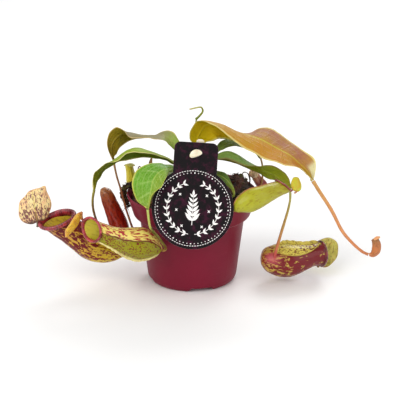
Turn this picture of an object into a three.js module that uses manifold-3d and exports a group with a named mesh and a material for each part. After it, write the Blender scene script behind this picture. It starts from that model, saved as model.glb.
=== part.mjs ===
// A pitcher plant in a plastic nursery pot, with a round card tag on a stake.
// Millimetres, +Z up. The origin is the middle of the pot's underside, and -Y is the front.
import * as THREE from 'three';
import { LoftGeometry } from 'three/addons/geometries/LoftGeometry.js';
import { mergeVertices } from 'three/addons/utils/BufferGeometryUtils.js';
import Module from 'manifold-3d';

// ---- driving dimensions ----------------------------------------------------

const GAP = 0.4;                  // clearance between pieces that touch

const RIM_RADIUS = 61.2;          // a 12 cm nursery pot
const POT_HEIGHT = 85.4;
const BAND_HEIGHT = 21.4;          // deep band under the rim
const BAND_RADIUS = 54.5;         // lower edge of that band
const BODY_TOP_RADIUS = 49.5;
const BASE_RADIUS = 41.5;
const WALL = 1.6;
const FOOT_HEIGHT = 4;
const FOOT_WIDTH = 5;
const PAD_RADIUS = 10;            // flat pad in the middle of the underside
const NOTCH_COUNT = 4;
const NOTCH_WIDTH = 22;
const NOTCH_TURN = 12.5;          // degrees that the front notch lies right of the middle
const DRAIN_RADIUS = 4;
const DRAIN_CIRCLE = 24;

const SOIL_TOP = 80;
const SOIL_BOTTOM = 6.2;

const STEM_AT = [1.5, 2];
const STEM_RADIUS = 5;
const STEM_TOP = 118;
const ROOT_DEPTH = 46;            // lowest point of the roots

const TAG_RADIUS = 36.6;
const TAG_THICKNESS = 1;
const TAG_LEAN = 18;              // degrees back from upright
const TAG_TURN = -3.5;             // degrees in its own plane
const TAB_HALF_WIDTH = 19.6;
const TAB_TOP = 59;               // above the disc's middle
const TAB_CORNER = 5.5;
const PEG_HEIGHT = 49;            // hole above the disc's middle
const PEG_HOLE = 2.4;

const STAKE_WIDTH = 7;
const STAKE_THICKNESS = 2;
const STAKE_FRONT = -41.2;
const STAKE_TOP = 148.5;
const STAKE_BOTTOM = 40;
const STAKE_X = 8;
const STAKE_TURN = -3.5;

const LEAF_THICKNESS = 1;
const CUP_WALL = 1;
const LIP = 2.2;                  // how far the rolled mouth stands out
const LIP_HEIGHT = 3;
const LID_THICKNESS = 1;
const NECK_RADIUS = 1.2;
const NECK_LENGTH = 1.6;          // between the mouth and the lid

// ---- small helpers -----------------------------------------------------------

const wasm = await Module();
wasm.setup();

const degrees = THREE.MathUtils.degToRad;
const vector = (p) => new THREE.Vector3(p[0], p[1], p[2]);

// A point on the smooth curve through rows of numbers, one column at a time. t runs from 0 to 1.
function along(rows, t) {
  const place = Math.min(Math.max(t, 0), 1) * (rows.length - 1);
  const i = Math.min(Math.floor(place), rows.length - 2);
  const f = place - i;
  const row = (k) => rows[Math.min(Math.max(k, 0), rows.length - 1)];
  return rows[i].map((value, c) => {
    const next = rows[i + 1][c];
    const m0 = (next - row(i - 1)[c]) / 2;
    const m1 = (row(i + 2)[c] - value) / 2;
    const f2 = f * f;
    const f3 = f2 * f;
    return (2 * f3 - 3 * f2 + 1) * value + (f3 - 2 * f2 + f) * m0
      + (3 * f2 - 2 * f3) * next + (f3 - f2) * m1;
  });
}

function directionAlong(rows, t) {
  const step = 0.02;
  return vector(along(rows, t + step)).sub(vector(along(rows, t - step))).normalize();
}

// Two unit vectors square to a direction, the first as near to the hint as it can be.
function crossAxes(direction, hint) {
  const first = hint.clone().addScaledVector(direction, -hint.dot(direction)).normalize();
  return [first, direction.clone().cross(first)];
}

function smooth(from, to, value) {
  return THREE.MathUtils.smoothstep(value, from, to);
}

function loft(sections) {
  return new LoftGeometry(sections, { closed: true, capStart: true, capEnd: true });
}

function solid(geometry) {
  const bare = new THREE.BufferGeometry();
  bare.setAttribute('position', geometry.attributes.position);
  bare.setIndex(geometry.index);
  const merged = mergeVertices(bare, 1e-4);
  return new wasm.Manifold(new wasm.Mesh({
    numProp: 3,
    vertProperties: new Float32Array(merged.attributes.position.array),
    triVerts: new Uint32Array(merged.index.array),
  }));
}

function geometryOf(manifold) {
  const mesh = manifold.getMesh();
  const geometry = new THREE.BufferGeometry();
  geometry.setAttribute('position', new THREE.BufferAttribute(mesh.vertProperties, 3));
  geometry.setIndex(new THREE.BufferAttribute(mesh.triVerts, 1));
  return geometry;
}

function finish(color, roughness, metalness = 0) {
  return new THREE.MeshStandardMaterial({ color, roughness, metalness });
}

const plastic = finish(0x823040, 0.45);
const mix = finish(0x3a2a1e, 1);
const moss = finish(0x4a4426, 1);
const card = finish(0x2a0d14, 0.5);
const cream = finish(0xe6d8b8, 0.45);
const wood = finish(0x4c4a26, 0.8);
const dry = finish(0x8a6a48, 0.9);
const greenLeaf = finish(0x7f9a45, 0.4);
const bronzeLeaf = finish(0xb07a4a, 0.45);
const paleTendril = finish(0xb8a04a, 0.5);
const redTendril = finish(0xa05a38, 0.5);
const spottedCup = finish(0x93742f, 0.35);
const yellowCup = finish(0xb9b648, 0.4);
const darkCup = finish(0x6e2620, 0.3);

const plant = new THREE.Group();

function add(name, geometry, material, parent = plant) {
  const mesh = new THREE.Mesh(geometry, material);
  mesh.name = name;
  parent.add(mesh);
  return mesh;
}

// ---- pot ---------------------------------------------------------------------

const BAND_BOTTOM = POT_HEIGHT - BAND_HEIGHT;
const bodyRadius = (z) => BASE_RADIUS + (BODY_TOP_RADIUS - BASE_RADIUS) * z / BAND_BOTTOM;
const bandRadius = (z) => BAND_RADIUS + (RIM_RADIUS - BAND_RADIUS) * (z - BAND_BOTTOM) / BAND_HEIGHT;

function potWall() {
  const floor = FOOT_HEIGHT + WALL;
  const corner = 5;
  const profile = [
    [0, 0],
    [PAD_RADIUS, 0],
    [PAD_RADIUS + 1, FOOT_HEIGHT],
    [BASE_RADIUS - FOOT_WIDTH - 3.5, FOOT_HEIGHT],
    [BASE_RADIUS - FOOT_WIDTH - 2.5, 0],
    [BASE_RADIUS - 3, 0],
    [BASE_RADIUS - 0.9, 1.6],
    [bodyRadius(corner), corner],
    [bodyRadius(BAND_BOTTOM - 1.5), BAND_BOTTOM - 1.5],
    [BAND_RADIUS - 0.8, BAND_BOTTOM],
    [bandRadius(BAND_BOTTOM + 1.5), BAND_BOTTOM + 1.5],
    [bandRadius(POT_HEIGHT - 1), POT_HEIGHT - 1],
    [RIM_RADIUS - 0.6, POT_HEIGHT],
    [RIM_RADIUS - WALL + 0.3, POT_HEIGHT],
    [bandRadius(POT_HEIGHT - 1) - WALL, POT_HEIGHT - 1],
    [BAND_RADIUS - WALL, BAND_BOTTOM + 2.5],
    [bodyRadius(BAND_BOTTOM) - WALL, BAND_BOTTOM],
    [bodyRadius(10) - WALL, 10],
    [BASE_RADIUS - WALL - 3, floor],
    [0, floor],
  ].map(([r, z]) => new THREE.Vector2(r, z));
  return new THREE.LatheGeometry(profile, 48).rotateX(Math.PI / 2);
}

function potGeometry() {
  let pot = solid(potWall());
  for (let i = 0; i < NOTCH_COUNT; i++) {
    const angle = degrees(-90 + NOTCH_TURN + i * 360 / NOTCH_COUNT);
    const outline = new THREE.Shape([
      new THREE.Vector2(-NOTCH_WIDTH / 2 - 2, -1),
      new THREE.Vector2(NOTCH_WIDTH / 2 + 2, -1),
      new THREE.Vector2(NOTCH_WIDTH / 2 - 1, FOOT_HEIGHT - 0.4),
      new THREE.Vector2(-NOTCH_WIDTH / 2 + 1, FOOT_HEIGHT - 0.4),
    ]);
    const cutter = new THREE.ExtrudeGeometry(outline, { depth: 20, bevelEnabled: false });
    cutter.rotateX(Math.PI / 2).translate(0, -BASE_RADIUS + 11, 0).rotateZ(angle + Math.PI / 2);
    pot = pot.subtract(solid(cutter));
    const drain = new THREE.CylinderGeometry(DRAIN_RADIUS, DRAIN_RADIUS, 12, 12);
    const drainAngle = angle + Math.PI / NOTCH_COUNT;
    drain.rotateX(Math.PI / 2).translate(DRAIN_CIRCLE * Math.cos(drainAngle), DRAIN_CIRCLE * Math.sin(drainAngle), 4);
    pot = pot.subtract(solid(drain));
  }
  return geometryOf(pot);
}

add('pot', potGeometry(), plastic);

// ---- stem and soil -----------------------------------------------------------

function stemGeometry(grow = 0) {
  const profile = [
    [0, ROOT_DEPTH - grow],
    [3 + grow, ROOT_DEPTH - grow],
    [9 + grow, 58],
    [11 + grow, 68],
    [STEM_RADIUS + 1.5 + grow, 77],
    [STEM_RADIUS + grow, 88],
    [STEM_RADIUS + grow, STEM_TOP - 4],
    [STEM_RADIUS - 1.5 + grow, STEM_TOP],
    [0, STEM_TOP + 1 + grow],
  ].map(([r, z]) => new THREE.Vector2(r, z));
  const stem = new THREE.LatheGeometry(profile, 16).rotateX(Math.PI / 2);
  return stem.translate(STEM_AT[0], STEM_AT[1], 0);
}

function stakeStrip(grow = 0) {
  const strip = new THREE.BoxGeometry(STAKE_WIDTH + 2 * grow, STAKE_THICKNESS + 2 * grow,
    STAKE_TOP - STAKE_BOTTOM + 2 * grow);
  strip.rotateY(degrees(-STAKE_TURN));
  const middle = (STAKE_TOP + STAKE_BOTTOM) / 2;
  const lean = Math.tan(degrees(-STAKE_TURN)) * (STAKE_TOP - middle);
  return strip.translate(STAKE_X - lean, STAKE_FRONT + STAKE_THICKNESS / 2, middle);
}

function soilGeometry() {
  const profile = [
    [0, SOIL_BOTTOM],
    [BASE_RADIUS - WALL - 4, SOIL_BOTTOM],
    [bodyRadius(10) - WALL - GAP - 0.2, 10.5],
    [bodyRadius(BAND_BOTTOM) - WALL - 2 * GAP, BAND_BOTTOM],
    [BAND_RADIUS - WALL - 2 * GAP, BAND_BOTTOM + 4],
    [bandRadius(SOIL_TOP - 2) - WALL - GAP, SOIL_TOP - 2],
    [51, SOIL_TOP],
    [38, SOIL_TOP + 0.5],
    [24, SOIL_TOP + 1.5],
    [12, SOIL_TOP + 2],
    [0, SOIL_TOP + 2],
  ].map(([r, z]) => new THREE.Vector2(r, z));
  const soil = new THREE.LatheGeometry(profile, 40).rotateX(Math.PI / 2);
  const place = soil.attributes.position;
  for (let i = 0; i < place.count; i++) {
    const [x, y, z] = [place.getX(i), place.getY(i), place.getZ(i)];
    if (z < SOIL_TOP - 0.5) continue;
    place.setZ(i, z + 0.5 * Math.sin(x / 6) * Math.cos(y / 7));
  }
  return geometryOf(solid(soil).subtract(solid(stemGeometry(GAP))).subtract(solid(stakeStrip(GAP))));
}

add('stem', stemGeometry(), wood);
add('soil', soilGeometry(), mix);

// ---- tag on its stake ----------------------------------------------------------

// The tag leans on the rim at the front, and its frame has x across, y up the card and z out of its face.
const tagFrame = new THREE.Group();
const TAG_AT_RIM = -(RIM_RADIUS + (TAG_THICKNESS + GAP) / Math.cos(degrees(TAG_LEAN)));
const TAG_MIDDLE_Z = 90.5;
tagFrame.position.set(1, TAG_AT_RIM + (TAG_MIDDLE_Z - POT_HEIGHT) * Math.tan(degrees(TAG_LEAN)), TAG_MIDDLE_Z);
tagFrame.rotation.set(degrees(90 - TAG_LEAN), 0, 0);
plant.add(tagFrame);

function tagGeometry() {
  const joint = Math.asin(Math.sqrt(TAG_RADIUS ** 2 - TAB_HALF_WIDTH ** 2) / TAG_RADIUS);
  const outline = new THREE.Shape();
  outline.absarc(0, 0, TAG_RADIUS, Math.PI - joint, joint, false);
  outline.absarc(TAB_HALF_WIDTH - TAB_CORNER, TAB_TOP - TAB_CORNER, TAB_CORNER, 0, Math.PI / 2, false);
  outline.absarc(TAB_CORNER - TAB_HALF_WIDTH, TAB_TOP - TAB_CORNER, TAB_CORNER, Math.PI / 2, Math.PI, false);
  const hole = new THREE.Path();
  hole.absarc(1.5, PEG_HEIGHT, PEG_HOLE, 0, 2 * Math.PI, true);
  outline.holes.push(hole);
  return new THREE.ExtrudeGeometry(outline, { depth: TAG_THICKNESS, bevelEnabled: false, curveSegments: 14 });
}

const tag = add('tag', tagGeometry(), card, tagFrame);
tag.rotation.z = degrees(TAG_TURN);

function stakeGeometry() {
  tagFrame.updateMatrixWorld(true);
  tag.updateMatrixWorld(true);
  // the peg's neck runs back through the tag's hole into the strip, and its head is a flat bean
  const neck = new THREE.CylinderGeometry(1.6, 1.6, 7, 10).rotateX(Math.PI / 2);
  neck.translate(1.5, PEG_HEIGHT, -1.5).applyMatrix4(tag.matrixWorld);
  const head = new THREE.SphereGeometry(1, 14, 8).scale(5.8, 3.4, 1.4).rotateZ(degrees(22));
  head.translate(-0.3, PEG_HEIGHT - 0.2, TAG_THICKNESS + GAP + 1.4).applyMatrix4(tag.matrixWorld);
  return geometryOf(solid(stakeStrip()).add(solid(neck)).add(solid(head)));
}

add('tag_stake', stakeGeometry(), cream);

// ---- leaves ----------------------------------------------------------------------

// Each row is a place along the leaf: the near edge, the midrib and the far edge.
const LEAVES = {
  leaf_back_left: { material: bronzeLeaf, rows: [
    [[-3.8, 0, 113], [-4.3, 2.5, 114], [-3.9, 5, 114]],
    [[-16, 4, 124], [-13, 4, 127], [-11, 6, 131]],
    [[-23, -1, 133], [-19, 6, 132], [-17, 8, 140]],
    [[-28, -3, 137], [-27, 8, 136], [-24, 18, 139]],
    [[-38, -3, 138], [-37, 9, 137], [-37, 20, 133]],
    [[-49, -4, 139], [-48, 9, 138], [-49, 19, 131]],
    [[-57, -4, 139], [-57, 9, 140], [-58, 16, 130]],
    [[-63, -3, 145], [-63, 8, 140], [-62, 12, 129]],
    [[-70, 3, 147], [-69, 6, 137], [-67, 6, 126]],
    [[-77, 4, 140], [-74, 4, 130], [-70, 5, 121]],
    [[-78, 0, 128], [-75, 2, 123], [-72, 2, 119]],
    [[-74, 1, 117], [-73, 1, 116], [-72, 1, 117]],
  ] },
  leaf_left: { material: greenLeaf, rows: [
    [[-3.4, -1.4, 108], [-4.3, 1.2, 108], [-4.5, 3.8, 109]],
    [[-16, -10, 116], [-17, -6, 117], [-17, -4, 113]],
    [[-25, -16, 124], [-25, -9, 122], [-25, -4, 117]],
    [[-38, -23, 129], [-38, -12, 128], [-39, -5, 120]],
    [[-50, -26, 132], [-49, -14, 132], [-50, -10, 121]],
    [[-60, -27, 130], [-59, -15, 130], [-60, -10, 119]],
    [[-69, -26, 123], [-69, -16, 123], [-70, -9, 116]],
    [[-79, -23, 120], [-79, -16, 116], [-79, -11, 110]],
    [[-88, -21, 112], [-86, -16, 109], [-84, -12, 104]],
    [[-91, -19, 103], [-89, -16, 102], [-87, -15, 100]],
    [[-91, -17, 93], [-90, -16, 93], [-89, -16, 93]],
  ] },
  leaf_front_left: { material: greenLeaf, rows: [
    [[-4.6, -2, 102], [-2, -2.8, 101], [0.6, -4, 100]],
    [[-17, -26, 119], [-14, -29, 117], [-12, -32, 114]],
    [[-26, -36, 124], [-22, -43, 122], [-20, -47.5, 120]],
    [[-39, -45, 127], [-29, -51, 121], [-23, -59, 117.5]],
    [[-49, -55, 124], [-34, -57, 116], [-26, -67, 114]],
    [[-53, -60, 113], [-36, -61, 108], [-32, -70, 110]],
    [[-49, -60, 98], [-38, -64, 99], [-36, -70, 103]],
    [[-40, -66, 93], [-39, -66, 92], [-38, -66, 93]],
  ] },
  leaf_right: { material: bronzeLeaf, rows: [
    [[7.2, 1.2, 114], [7.4, 3.6, 115], [7, 6, 116]],
    [[4, 9, 126], [8, 9, 126], [12, 9, 125]],
    [[-2, 4, 135], [5, 9, 134], [13, 11, 130]],
    [[0, 0, 146], [8, 9, 141], [20, 9, 132]],
    [[7, -4, 156], [14, 8, 148], [24, 8, 134]],
    [[26, -12, 149], [28, 6, 148], [28, 15, 132]],
    [[40, -16, 138], [44, 2, 142], [45, 17, 130]],
    [[55, -20, 130], [61, -3, 138], [65, 16, 143]],
    [[69, -24, 124], [76, -7, 131], [81, 11, 139]],
    [[84, -26, 120], [90, -11, 124], [96, 4, 129]],
    [[99, -26, 116], [101, -14, 115], [111, -12, 123]],
    [[105, -24, 111], [107, -16, 109], [114, -14, 115]],
    [[111, -18, 102], [111, -17, 102], [112, -17, 102]],
  ] },
  leaf_back_right: { material: greenLeaf, rows: [
    [[6.4, 5.4, 109], [4.8, 6.8, 109], [3.2, 8, 110]],
    [[21, 7, 118], [21, 10, 120], [20, 13, 122]],
    [[27, 6, 124], [28, 12, 125], [27, 17, 129]],
    [[36, 9, 126], [37, 16, 128], [36, 22, 130]],
    [[47, 14, 124], [47, 20, 126], [47, 26, 128]],
    [[56, 21, 118], [58, 24, 119], [58, 27, 120]],
    [[65, 26, 110], [65, 27, 110], [65, 28, 110]],
  ] },
  leaf_low_right: { material: greenLeaf, rows: [
    [[6.6, -2, 106], [7.2, 0, 107], [7.2, 2, 108]],
    [[19, -9, 119], [19, -4, 119], [19, 0, 115]],
    [[25, -14, 121], [26, -6, 125], [26, -3, 117]],
    [[32, -17, 122], [34, -8, 127], [34, -4, 116]],
    [[40, -21, 121], [43, -10, 124], [44, -6, 113]],
    [[49, -23, 118], [52, -11, 118], [54, -4, 108]],
    [[61, -22, 118], [62, -12, 112], [62, -3, 104]],
    [[74, -18, 116], [72, -12, 108], [71, -6, 100]],
    [[85, -17, 110], [81, -13, 103], [78, -8, 98]],
    [[90, -16, 101], [88, -13, 97], [85, -10, 95]],
    [[92, -13, 91], [91, -13, 91], [90, -13, 91]],
  ] },
  leaf_front_right: { material: greenLeaf, rows: [
    [[2.6, -4.4, 99], [4.4, -3.4, 99], [6, -2, 99]],
    [[13, -29, 108], [15, -26, 110], [17, -23, 111]],
    [[20, -41, 112], [22, -36, 114], [24, -30, 115]],
    [[25, -48, 112], [28, -43, 114], [31, -38, 116]],
    [[31, -51, 109], [33, -48, 111], [34, -44, 112]],
    [[36, -53, 105], [37, -52, 105], [38, -51, 105]],
    [[37, -54, 101], [38, -54, 101], [39, -54, 101]],
  ] },
  leaf_newest: { material: greenLeaf, rows: [
    [[-0.6, 3, 119.6], [1, 4, 119.6], [2.6, 5, 119.6]],
    [[0, 13, 130], [2.6, 15.5, 130], [5, 18, 130]],
    [[2, 15, 140], [4.6, 17, 140], [7, 19, 140]],
    [[3, 15, 147], [4, 15.6, 147], [5, 16.2, 147]],
    [[3.4, 13.4, 151.4], [4, 13.4, 151.4], [4.6, 13.4, 151.4]],
  ] },
  leaf_low_back: { material: greenLeaf, rows: [
    [[-4.4, 1, 92], [-4.4, 3.5, 93], [-3.8, 6, 94]],
    [[-15, 4, 96], [-15, 10, 97], [-15, 16, 98]],
    [[-26, 7, 97], [-26, 16, 99], [-27, 25, 98]],
    [[-38, 13, 96], [-38, 20, 97], [-38, 27, 97]],
    [[-47, 20, 95], [-47, 23, 96], [-46, 26, 95]],
    [[-50.6, 23.4, 92.4], [-50.8, 24.2, 92.4], [-51, 25, 92.4]],
  ] },
};

// A point of the blade: s runs from -1 at the near edge over the midrib to 1 at the far edge.
function bladePoint(rows, t, s) {
  const row = along(rows, t);
  const near = row.slice(0, 3);
  const rib = row.slice(3, 6);
  const far = row.slice(6, 9);
  return vector(rib.map((r, c) => near[c] * s * (s - 1) / 2 + r * (1 - s * s) + far[c] * s * (s + 1) / 2));
}

function bladeGeometry(guides) {
  const rows = guides.map((row) => row.flat());
  const steps = 2 * (rows.length - 1);
  const across = 4;
  const sections = [];
  for (let i = 0; i <= steps; i++) {
    const upper = [];
    const lower = [];
    for (let j = 0; j <= across; j++) {
      const t = i / steps;
      const s = 1 - 2 * j / across;
      const lengthwise = bladePoint(rows, t + 0.01, s).sub(bladePoint(rows, t - 0.01, s));
      const crosswise = bladePoint(rows, t, s + 0.05).sub(bladePoint(rows, t, s - 0.05));
      const normal = lengthwise.cross(crosswise).normalize();
      const edge = Math.abs(s) === 1 ? 0.5 : 1;
      const offset = edge * LEAF_THICKNESS / 2;
      upper.push(bladePoint(rows, t, s).addScaledVector(normal, offset));
      lower.unshift(bladePoint(rows, t, s).addScaledVector(normal, -offset));
    }
    sections.push([...upper, ...lower]);
  }
  return loft(sections);
}

for (const [name, leaf] of Object.entries(LEAVES)) {
  add(name, bladeGeometry(leaf.rows), leaf.material);
}

// ---- round stalks and pods ---------------------------------------------------------

// A closed round body through rows of [x, y, z, radius].
function roundBody(rows, steps, sides) {
  const sections = [];
  let side = new THREE.Vector3(0, 0, 1);
  for (let i = 0; i <= steps; i++) {
    const [x, y, z, radius] = along(rows, i / steps);
    const [first, second] = crossAxes(directionAlong(rows, i / steps), side);
    side = first;
    const ring = [];
    for (let j = 0; j < sides; j++) {
      const angle = 2 * Math.PI * j / sides;
      ring.push(new THREE.Vector3(x, y, z)
        .addScaledVector(first, radius * Math.cos(angle))
        .addScaledVector(second, radius * Math.sin(angle)));
    }
    sections.push(ring);
  }
  return loft(sections);
}

// A tendril runs from a leaf's tip through its points to a pitcher's tail, and tapers on the way.
const TENDRILS = {
  tendril_back_left: { material: redTendril, radius: [0.9, 1.1], points: [
    [-72.9, 0.9, 115.4], [-70, -3, 102], [-66, -5, 88], [-62, -4, 70], [-58, -2, 55], [-55.5, 0, 45],
    [-56.5, 3, 37], [-61, 4, 33.5], [-65, 4, 34.6]] },
  tendril_left: { material: paleTendril, radius: [1.1, 1.3], points: [
    [-90.2, -16, 92.3], [-92, -14, 82], [-92, -8, 69], [-89, 2, 52], [-83, 7, 39], [-74, 6, 29],
    [-64, -2, 24], [-58, -12, 24], [-57, -19, 26], [-61.4, -22, 29.4]] },
  tendril_front_left: { material: paleTendril, radius: [1, 1.3], points: [
    [-39, -66.2, 91.2], [-38.2, -67, 83], [-37.4, -64.5, 75.5], [-36.3, -58, 69.5], [-34.6, -50, 64],
    [-31.6, -43.6, 57.6], [-28, -42, 51.5], [-24.8, -44.5, 47.8], [-24, -49.5, 46.6], [-26.2, -53.4, 47.1]] },
  tendril_right: { material: redTendril, radius: [1.8, 1.3], points: [
    [111.6, -17.1, 101.2], [118, -19, 91], [129, -21, 74], [139, -23, 55], [149, -24, 43], [158, -25, 35],
    [164, -25, 31.8]] },
  tendril_back_right: { material: redTendril, radius: [0.8, 1], points: [
    [65.1, 27.1, 109.2], [66.8, 26, 101], [66.6, 20.5, 91], [65.4, 17.8, 84.5], [66.4, 18, 78.6],
    [70, 20, 74.8], [73.4, 24, 74.4], [72, 27.2, 76.4]] },
  tendril_low_right: { material: paleTendril, radius: [1, 1.6], points: [
    [91, -13, 90.2], [91, -13, 81], [89, -13.5, 70], [86, -16, 60], [82.4, -20, 49], [79.4, -24, 40],
    [77.6, -26, 33.5], [77.2, -22.9, 28.6]] },
  tendril_front_right: { material: paleTendril, radius: [0.9, 1.1], points: [
    [37.8, -53.8, 100.3], [35.6, -49.6, 96], [35.6, -49.2, 90.4], [35.6, -51.6, 85.6], [36.8, -55, 86]] },
  tendril_newest: { material: paleTendril, radius: [1.1, 0.6], points: [
    [4.1, 12.8, 152], [7, 9, 156], [10, 7, 161], [9, 5, 165], [6, 3, 166], [-2, 0, 165]] },
  tendril_low_back: { material: paleTendril, radius: [0.8, 1], points: [
    [-51.5, 25.4, 92], [-52.8, 33.2, 92], [-56.6, 39.6, 87], [-59.5, 40, 79], [-59.4, 36.8, 72], [-58.8, 33.9, 72.8]] },
};

for (const [name, tendril] of Object.entries(TENDRILS)) {
  const [start, end] = tendril.radius;
  const last = tendril.points.length - 1;
  const rows = tendril.points.map((p, i) => [...p, start + (end - start) * i / last]);
  add(name, roundBody(rows, 2 * last, 6), tendril.material);
}

// ---- open pitchers -------------------------------------------------------------------

// A hollow cup through rows of [x, y, z, radius]. The mouth faces "out", and "back" points from
// its middle to the lid. Two low wings run down the side opposite the lid.
const PITCHERS = {
  pitcher_far_left: {
    material: spottedCup, wing: 2,
    rows: [[-62.5, -22, 30, 1.6], [-67, -22, 31.5, 5], [-75, -22, 33, 9.5], [-85, -22, 35.5, 12.5],
      [-96, -22, 40, 12.8], [-107, -22, 48.5, 10.4], [-116, -22, 57, 9.8], [-124, -22, 64, 12]],
    mouth: { out: [-0.26, -0.31, 0.92], back: [-0.95, -0.11, -0.3], long: 15.5, short: 10 },
    lid: { along: [-0.15, 0.22, 0.95], face: [0.1, -0.95, 0.2], long: 16.4, short: 15, dome: 2.5,
      rise: [0.1, 1, 0.8] },
  },
  pitcher_front_left: {
    material: spottedCup, wing: 2.2,
    rows: [[-27.4, -53.6, 47.4, 1.6], [-30, -54, 48.6, 5.6], [-36, -54.5, 51.2, 11], [-45, -55, 54, 14.6],
      [-56, -55, 56, 13.6], [-67, -54, 58.4, 10.8], [-78, -53, 62, 9.8], [-90, -51, 66.5, 10.5]],
    mouth: { out: [-0.63, -0.76, 0.17], back: [-0.61, 0.62, 0.49], long: 10.8, short: 9.6 },
    lid: { along: [-0.53, -0.12, -0.84], face: [0.66, -0.55, -0.45], long: 13.2, short: 6.6, dome: 1.4,
      rise: [0.8, -1.5, 8] },
  },
  pitcher_right: {
    material: yellowCup, wing: 0.9,
    rows: [[38, -56.8, 87, 1.4], [40.6, -57.4, 89.2, 4.4], [45, -57.2, 92.6, 8.2], [52, -55, 95.5, 10.2],
      [62, -51, 98.6, 9.6], [72, -45, 101.4, 8.2], [82.7, -37, 102.9, 8]],
    mouth: { out: [0.6, 0.36, 0.72], back: [0.8, -0.2, -0.57], long: 8.2, short: 7.4 },
    lid: { along: [0.05, 0.55, 0.83], face: [0.5, -0.86, 0.25], long: 7.2, short: 5.8, dome: 1.2,
      rise: [1.4, -0.2, -0.8] },
  },
  pitcher_low_right: {
    material: spottedCup, wing: 4, wingFrom: 0.38,
    rows: [[64.6, -10, 22.5, 2], [66, -10, 22.4, 7], [70, -10, 22, 11], [78, -10, 20.8, 14.6],
      [88, -9.5, 20, 16.2], [98, -9, 21, 15.2], [107, -8, 22.4, 12.6], [114, -6, 23.5, 11], [121, -4, 24, 11.5]],
    mouth: { out: [0.9, 0.41, -0.04], back: [0.03, 0.36, -0.93], long: 11.2, short: 10.2 },
    lid: { along: [0.42, 0.64, 0.66], face: [-0.1, -0.68, 0.72], long: 16.2, short: 12.6, dome: 0.8,
      rise: [0, 0, -2] },
  },
};

const CUP_SIDES = 12;

function cupRing(pitcher, t, inset, forward = 0) {
  const [x, y, z, radius] = along(pitcher.rows, t);
  const out = vector(pitcher.mouth.out).normalize();
  const turn = smooth(0.55, 1, t);
  const start = pitcher.wingFrom ?? 0;
  const facing = directionAlong(pitcher.rows, t).multiplyScalar(1 - turn).addScaledVector(out, turn).normalize();
  const [back, side] = crossAxes(facing, vector(pitcher.mouth.back));
  const long = radius * (1 - turn) + pitcher.mouth.long * turn - inset;
  const short = radius * (1 - turn) + pitcher.mouth.short * turn - inset;
  const centre = new THREE.Vector3(x, y, z).addScaledVector(facing, forward);
  const ring = [];
  for (let j = 0; j < CUP_SIDES; j++) {
    const angle = 2 * Math.PI * j / CUP_SIDES;
    const onWing = Math.abs(j - CUP_SIDES / 2) === 1 && inset === 0;
    const ridge = onWing ? pitcher.wing * smooth(start, start + 0.2, t) : 0;
    ring.push(centre.clone()
      .addScaledVector(back, (long + ridge) * Math.cos(angle))
      .addScaledVector(side, (short + ridge) * Math.sin(angle)));
  }
  return ring;
}

function cupGeometry(pitcher) {
  const steps = 12;
  const outside = [];
  for (let i = 0; i < steps; i++) outside.push(cupRing(pitcher, i / steps, 0));
  // the rolled mouth: out and over the top
  outside.push(cupRing(pitcher, 1, 0.01));
  outside.push(cupRing(pitcher, 1, -LIP, 0.6));
  outside.push(cupRing(pitcher, 1, -LIP + 0.3, 2.2));
  outside.push(cupRing(pitcher, 1, 0, LIP_HEIGHT));
  const inside = [];
  for (let i = 4; i <= steps; i += 2) inside.push(cupRing(pitcher, i / steps, CUP_WALL));
  inside.push(cupRing(pitcher, 1, CUP_WALL, LIP_HEIGHT + 1));
  return geometryOf(solid(loft(outside)).subtract(solid(loft(inside))));
}

// A domed oval lid. Its neck goes from the hinge by "rise" to the lid's foot, and the lid runs on
// "along" from there, with its upper side towards "face".
function lidGeometry(hinge, lid) {
  const rings = 2;
  const profile = [];
  for (let i = 0; i <= rings; i++) profile.push([i / rings, -LID_THICKNESS / 2]);
  for (let i = rings; i >= 0; i--) profile.push([i / rings, LID_THICKNESS / 2]);
  const outline = profile.map(([r, skin]) => new THREE.Vector2(r, skin - lid.dome * r * r));
  const blade = new THREE.LatheGeometry(outline, 14).rotateX(Math.PI / 2).scale(lid.short, lid.long, 1);
  blade.translate(0, lid.long, lid.dome);
  const up = vector(lid.along).normalize();
  const [face, side] = crossAxes(up, vector(lid.face));
  const foot = hinge.clone().add(vector(lid.rise ?? [0, 0, 0])).addScaledVector(up, NECK_LENGTH);
  blade.applyMatrix4(new THREE.Matrix4().makeBasis(side, up, face).setPosition(foot));
  const neckTop = foot.clone().addScaledVector(up, NECK_RADIUS);
  const neck = roundBody([[...hinge, NECK_RADIUS], [...neckTop, NECK_RADIUS]], 1, 8);
  return geometryOf(solid(blade).add(solid(neck)));
}

for (const [name, pitcher] of Object.entries(PITCHERS)) {
  add(name, cupGeometry(pitcher), pitcher.material);
  const [x, y, z] = pitcher.rows.at(-1);
  const out = vector(pitcher.mouth.out).normalize();
  const [back] = crossAxes(out, vector(pitcher.mouth.back));
  const hinge = new THREE.Vector3(x, y, z).addScaledVector(back, pitcher.mouth.long + LIP + GAP + NECK_RADIUS)
    .addScaledVector(out, 1.5);
  add(name.replace('pitcher', 'lid'), lidGeometry(hinge, pitcher.lid), pitcher.material);
}

// ---- young pitchers, still closed ------------------------------------------------------

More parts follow.
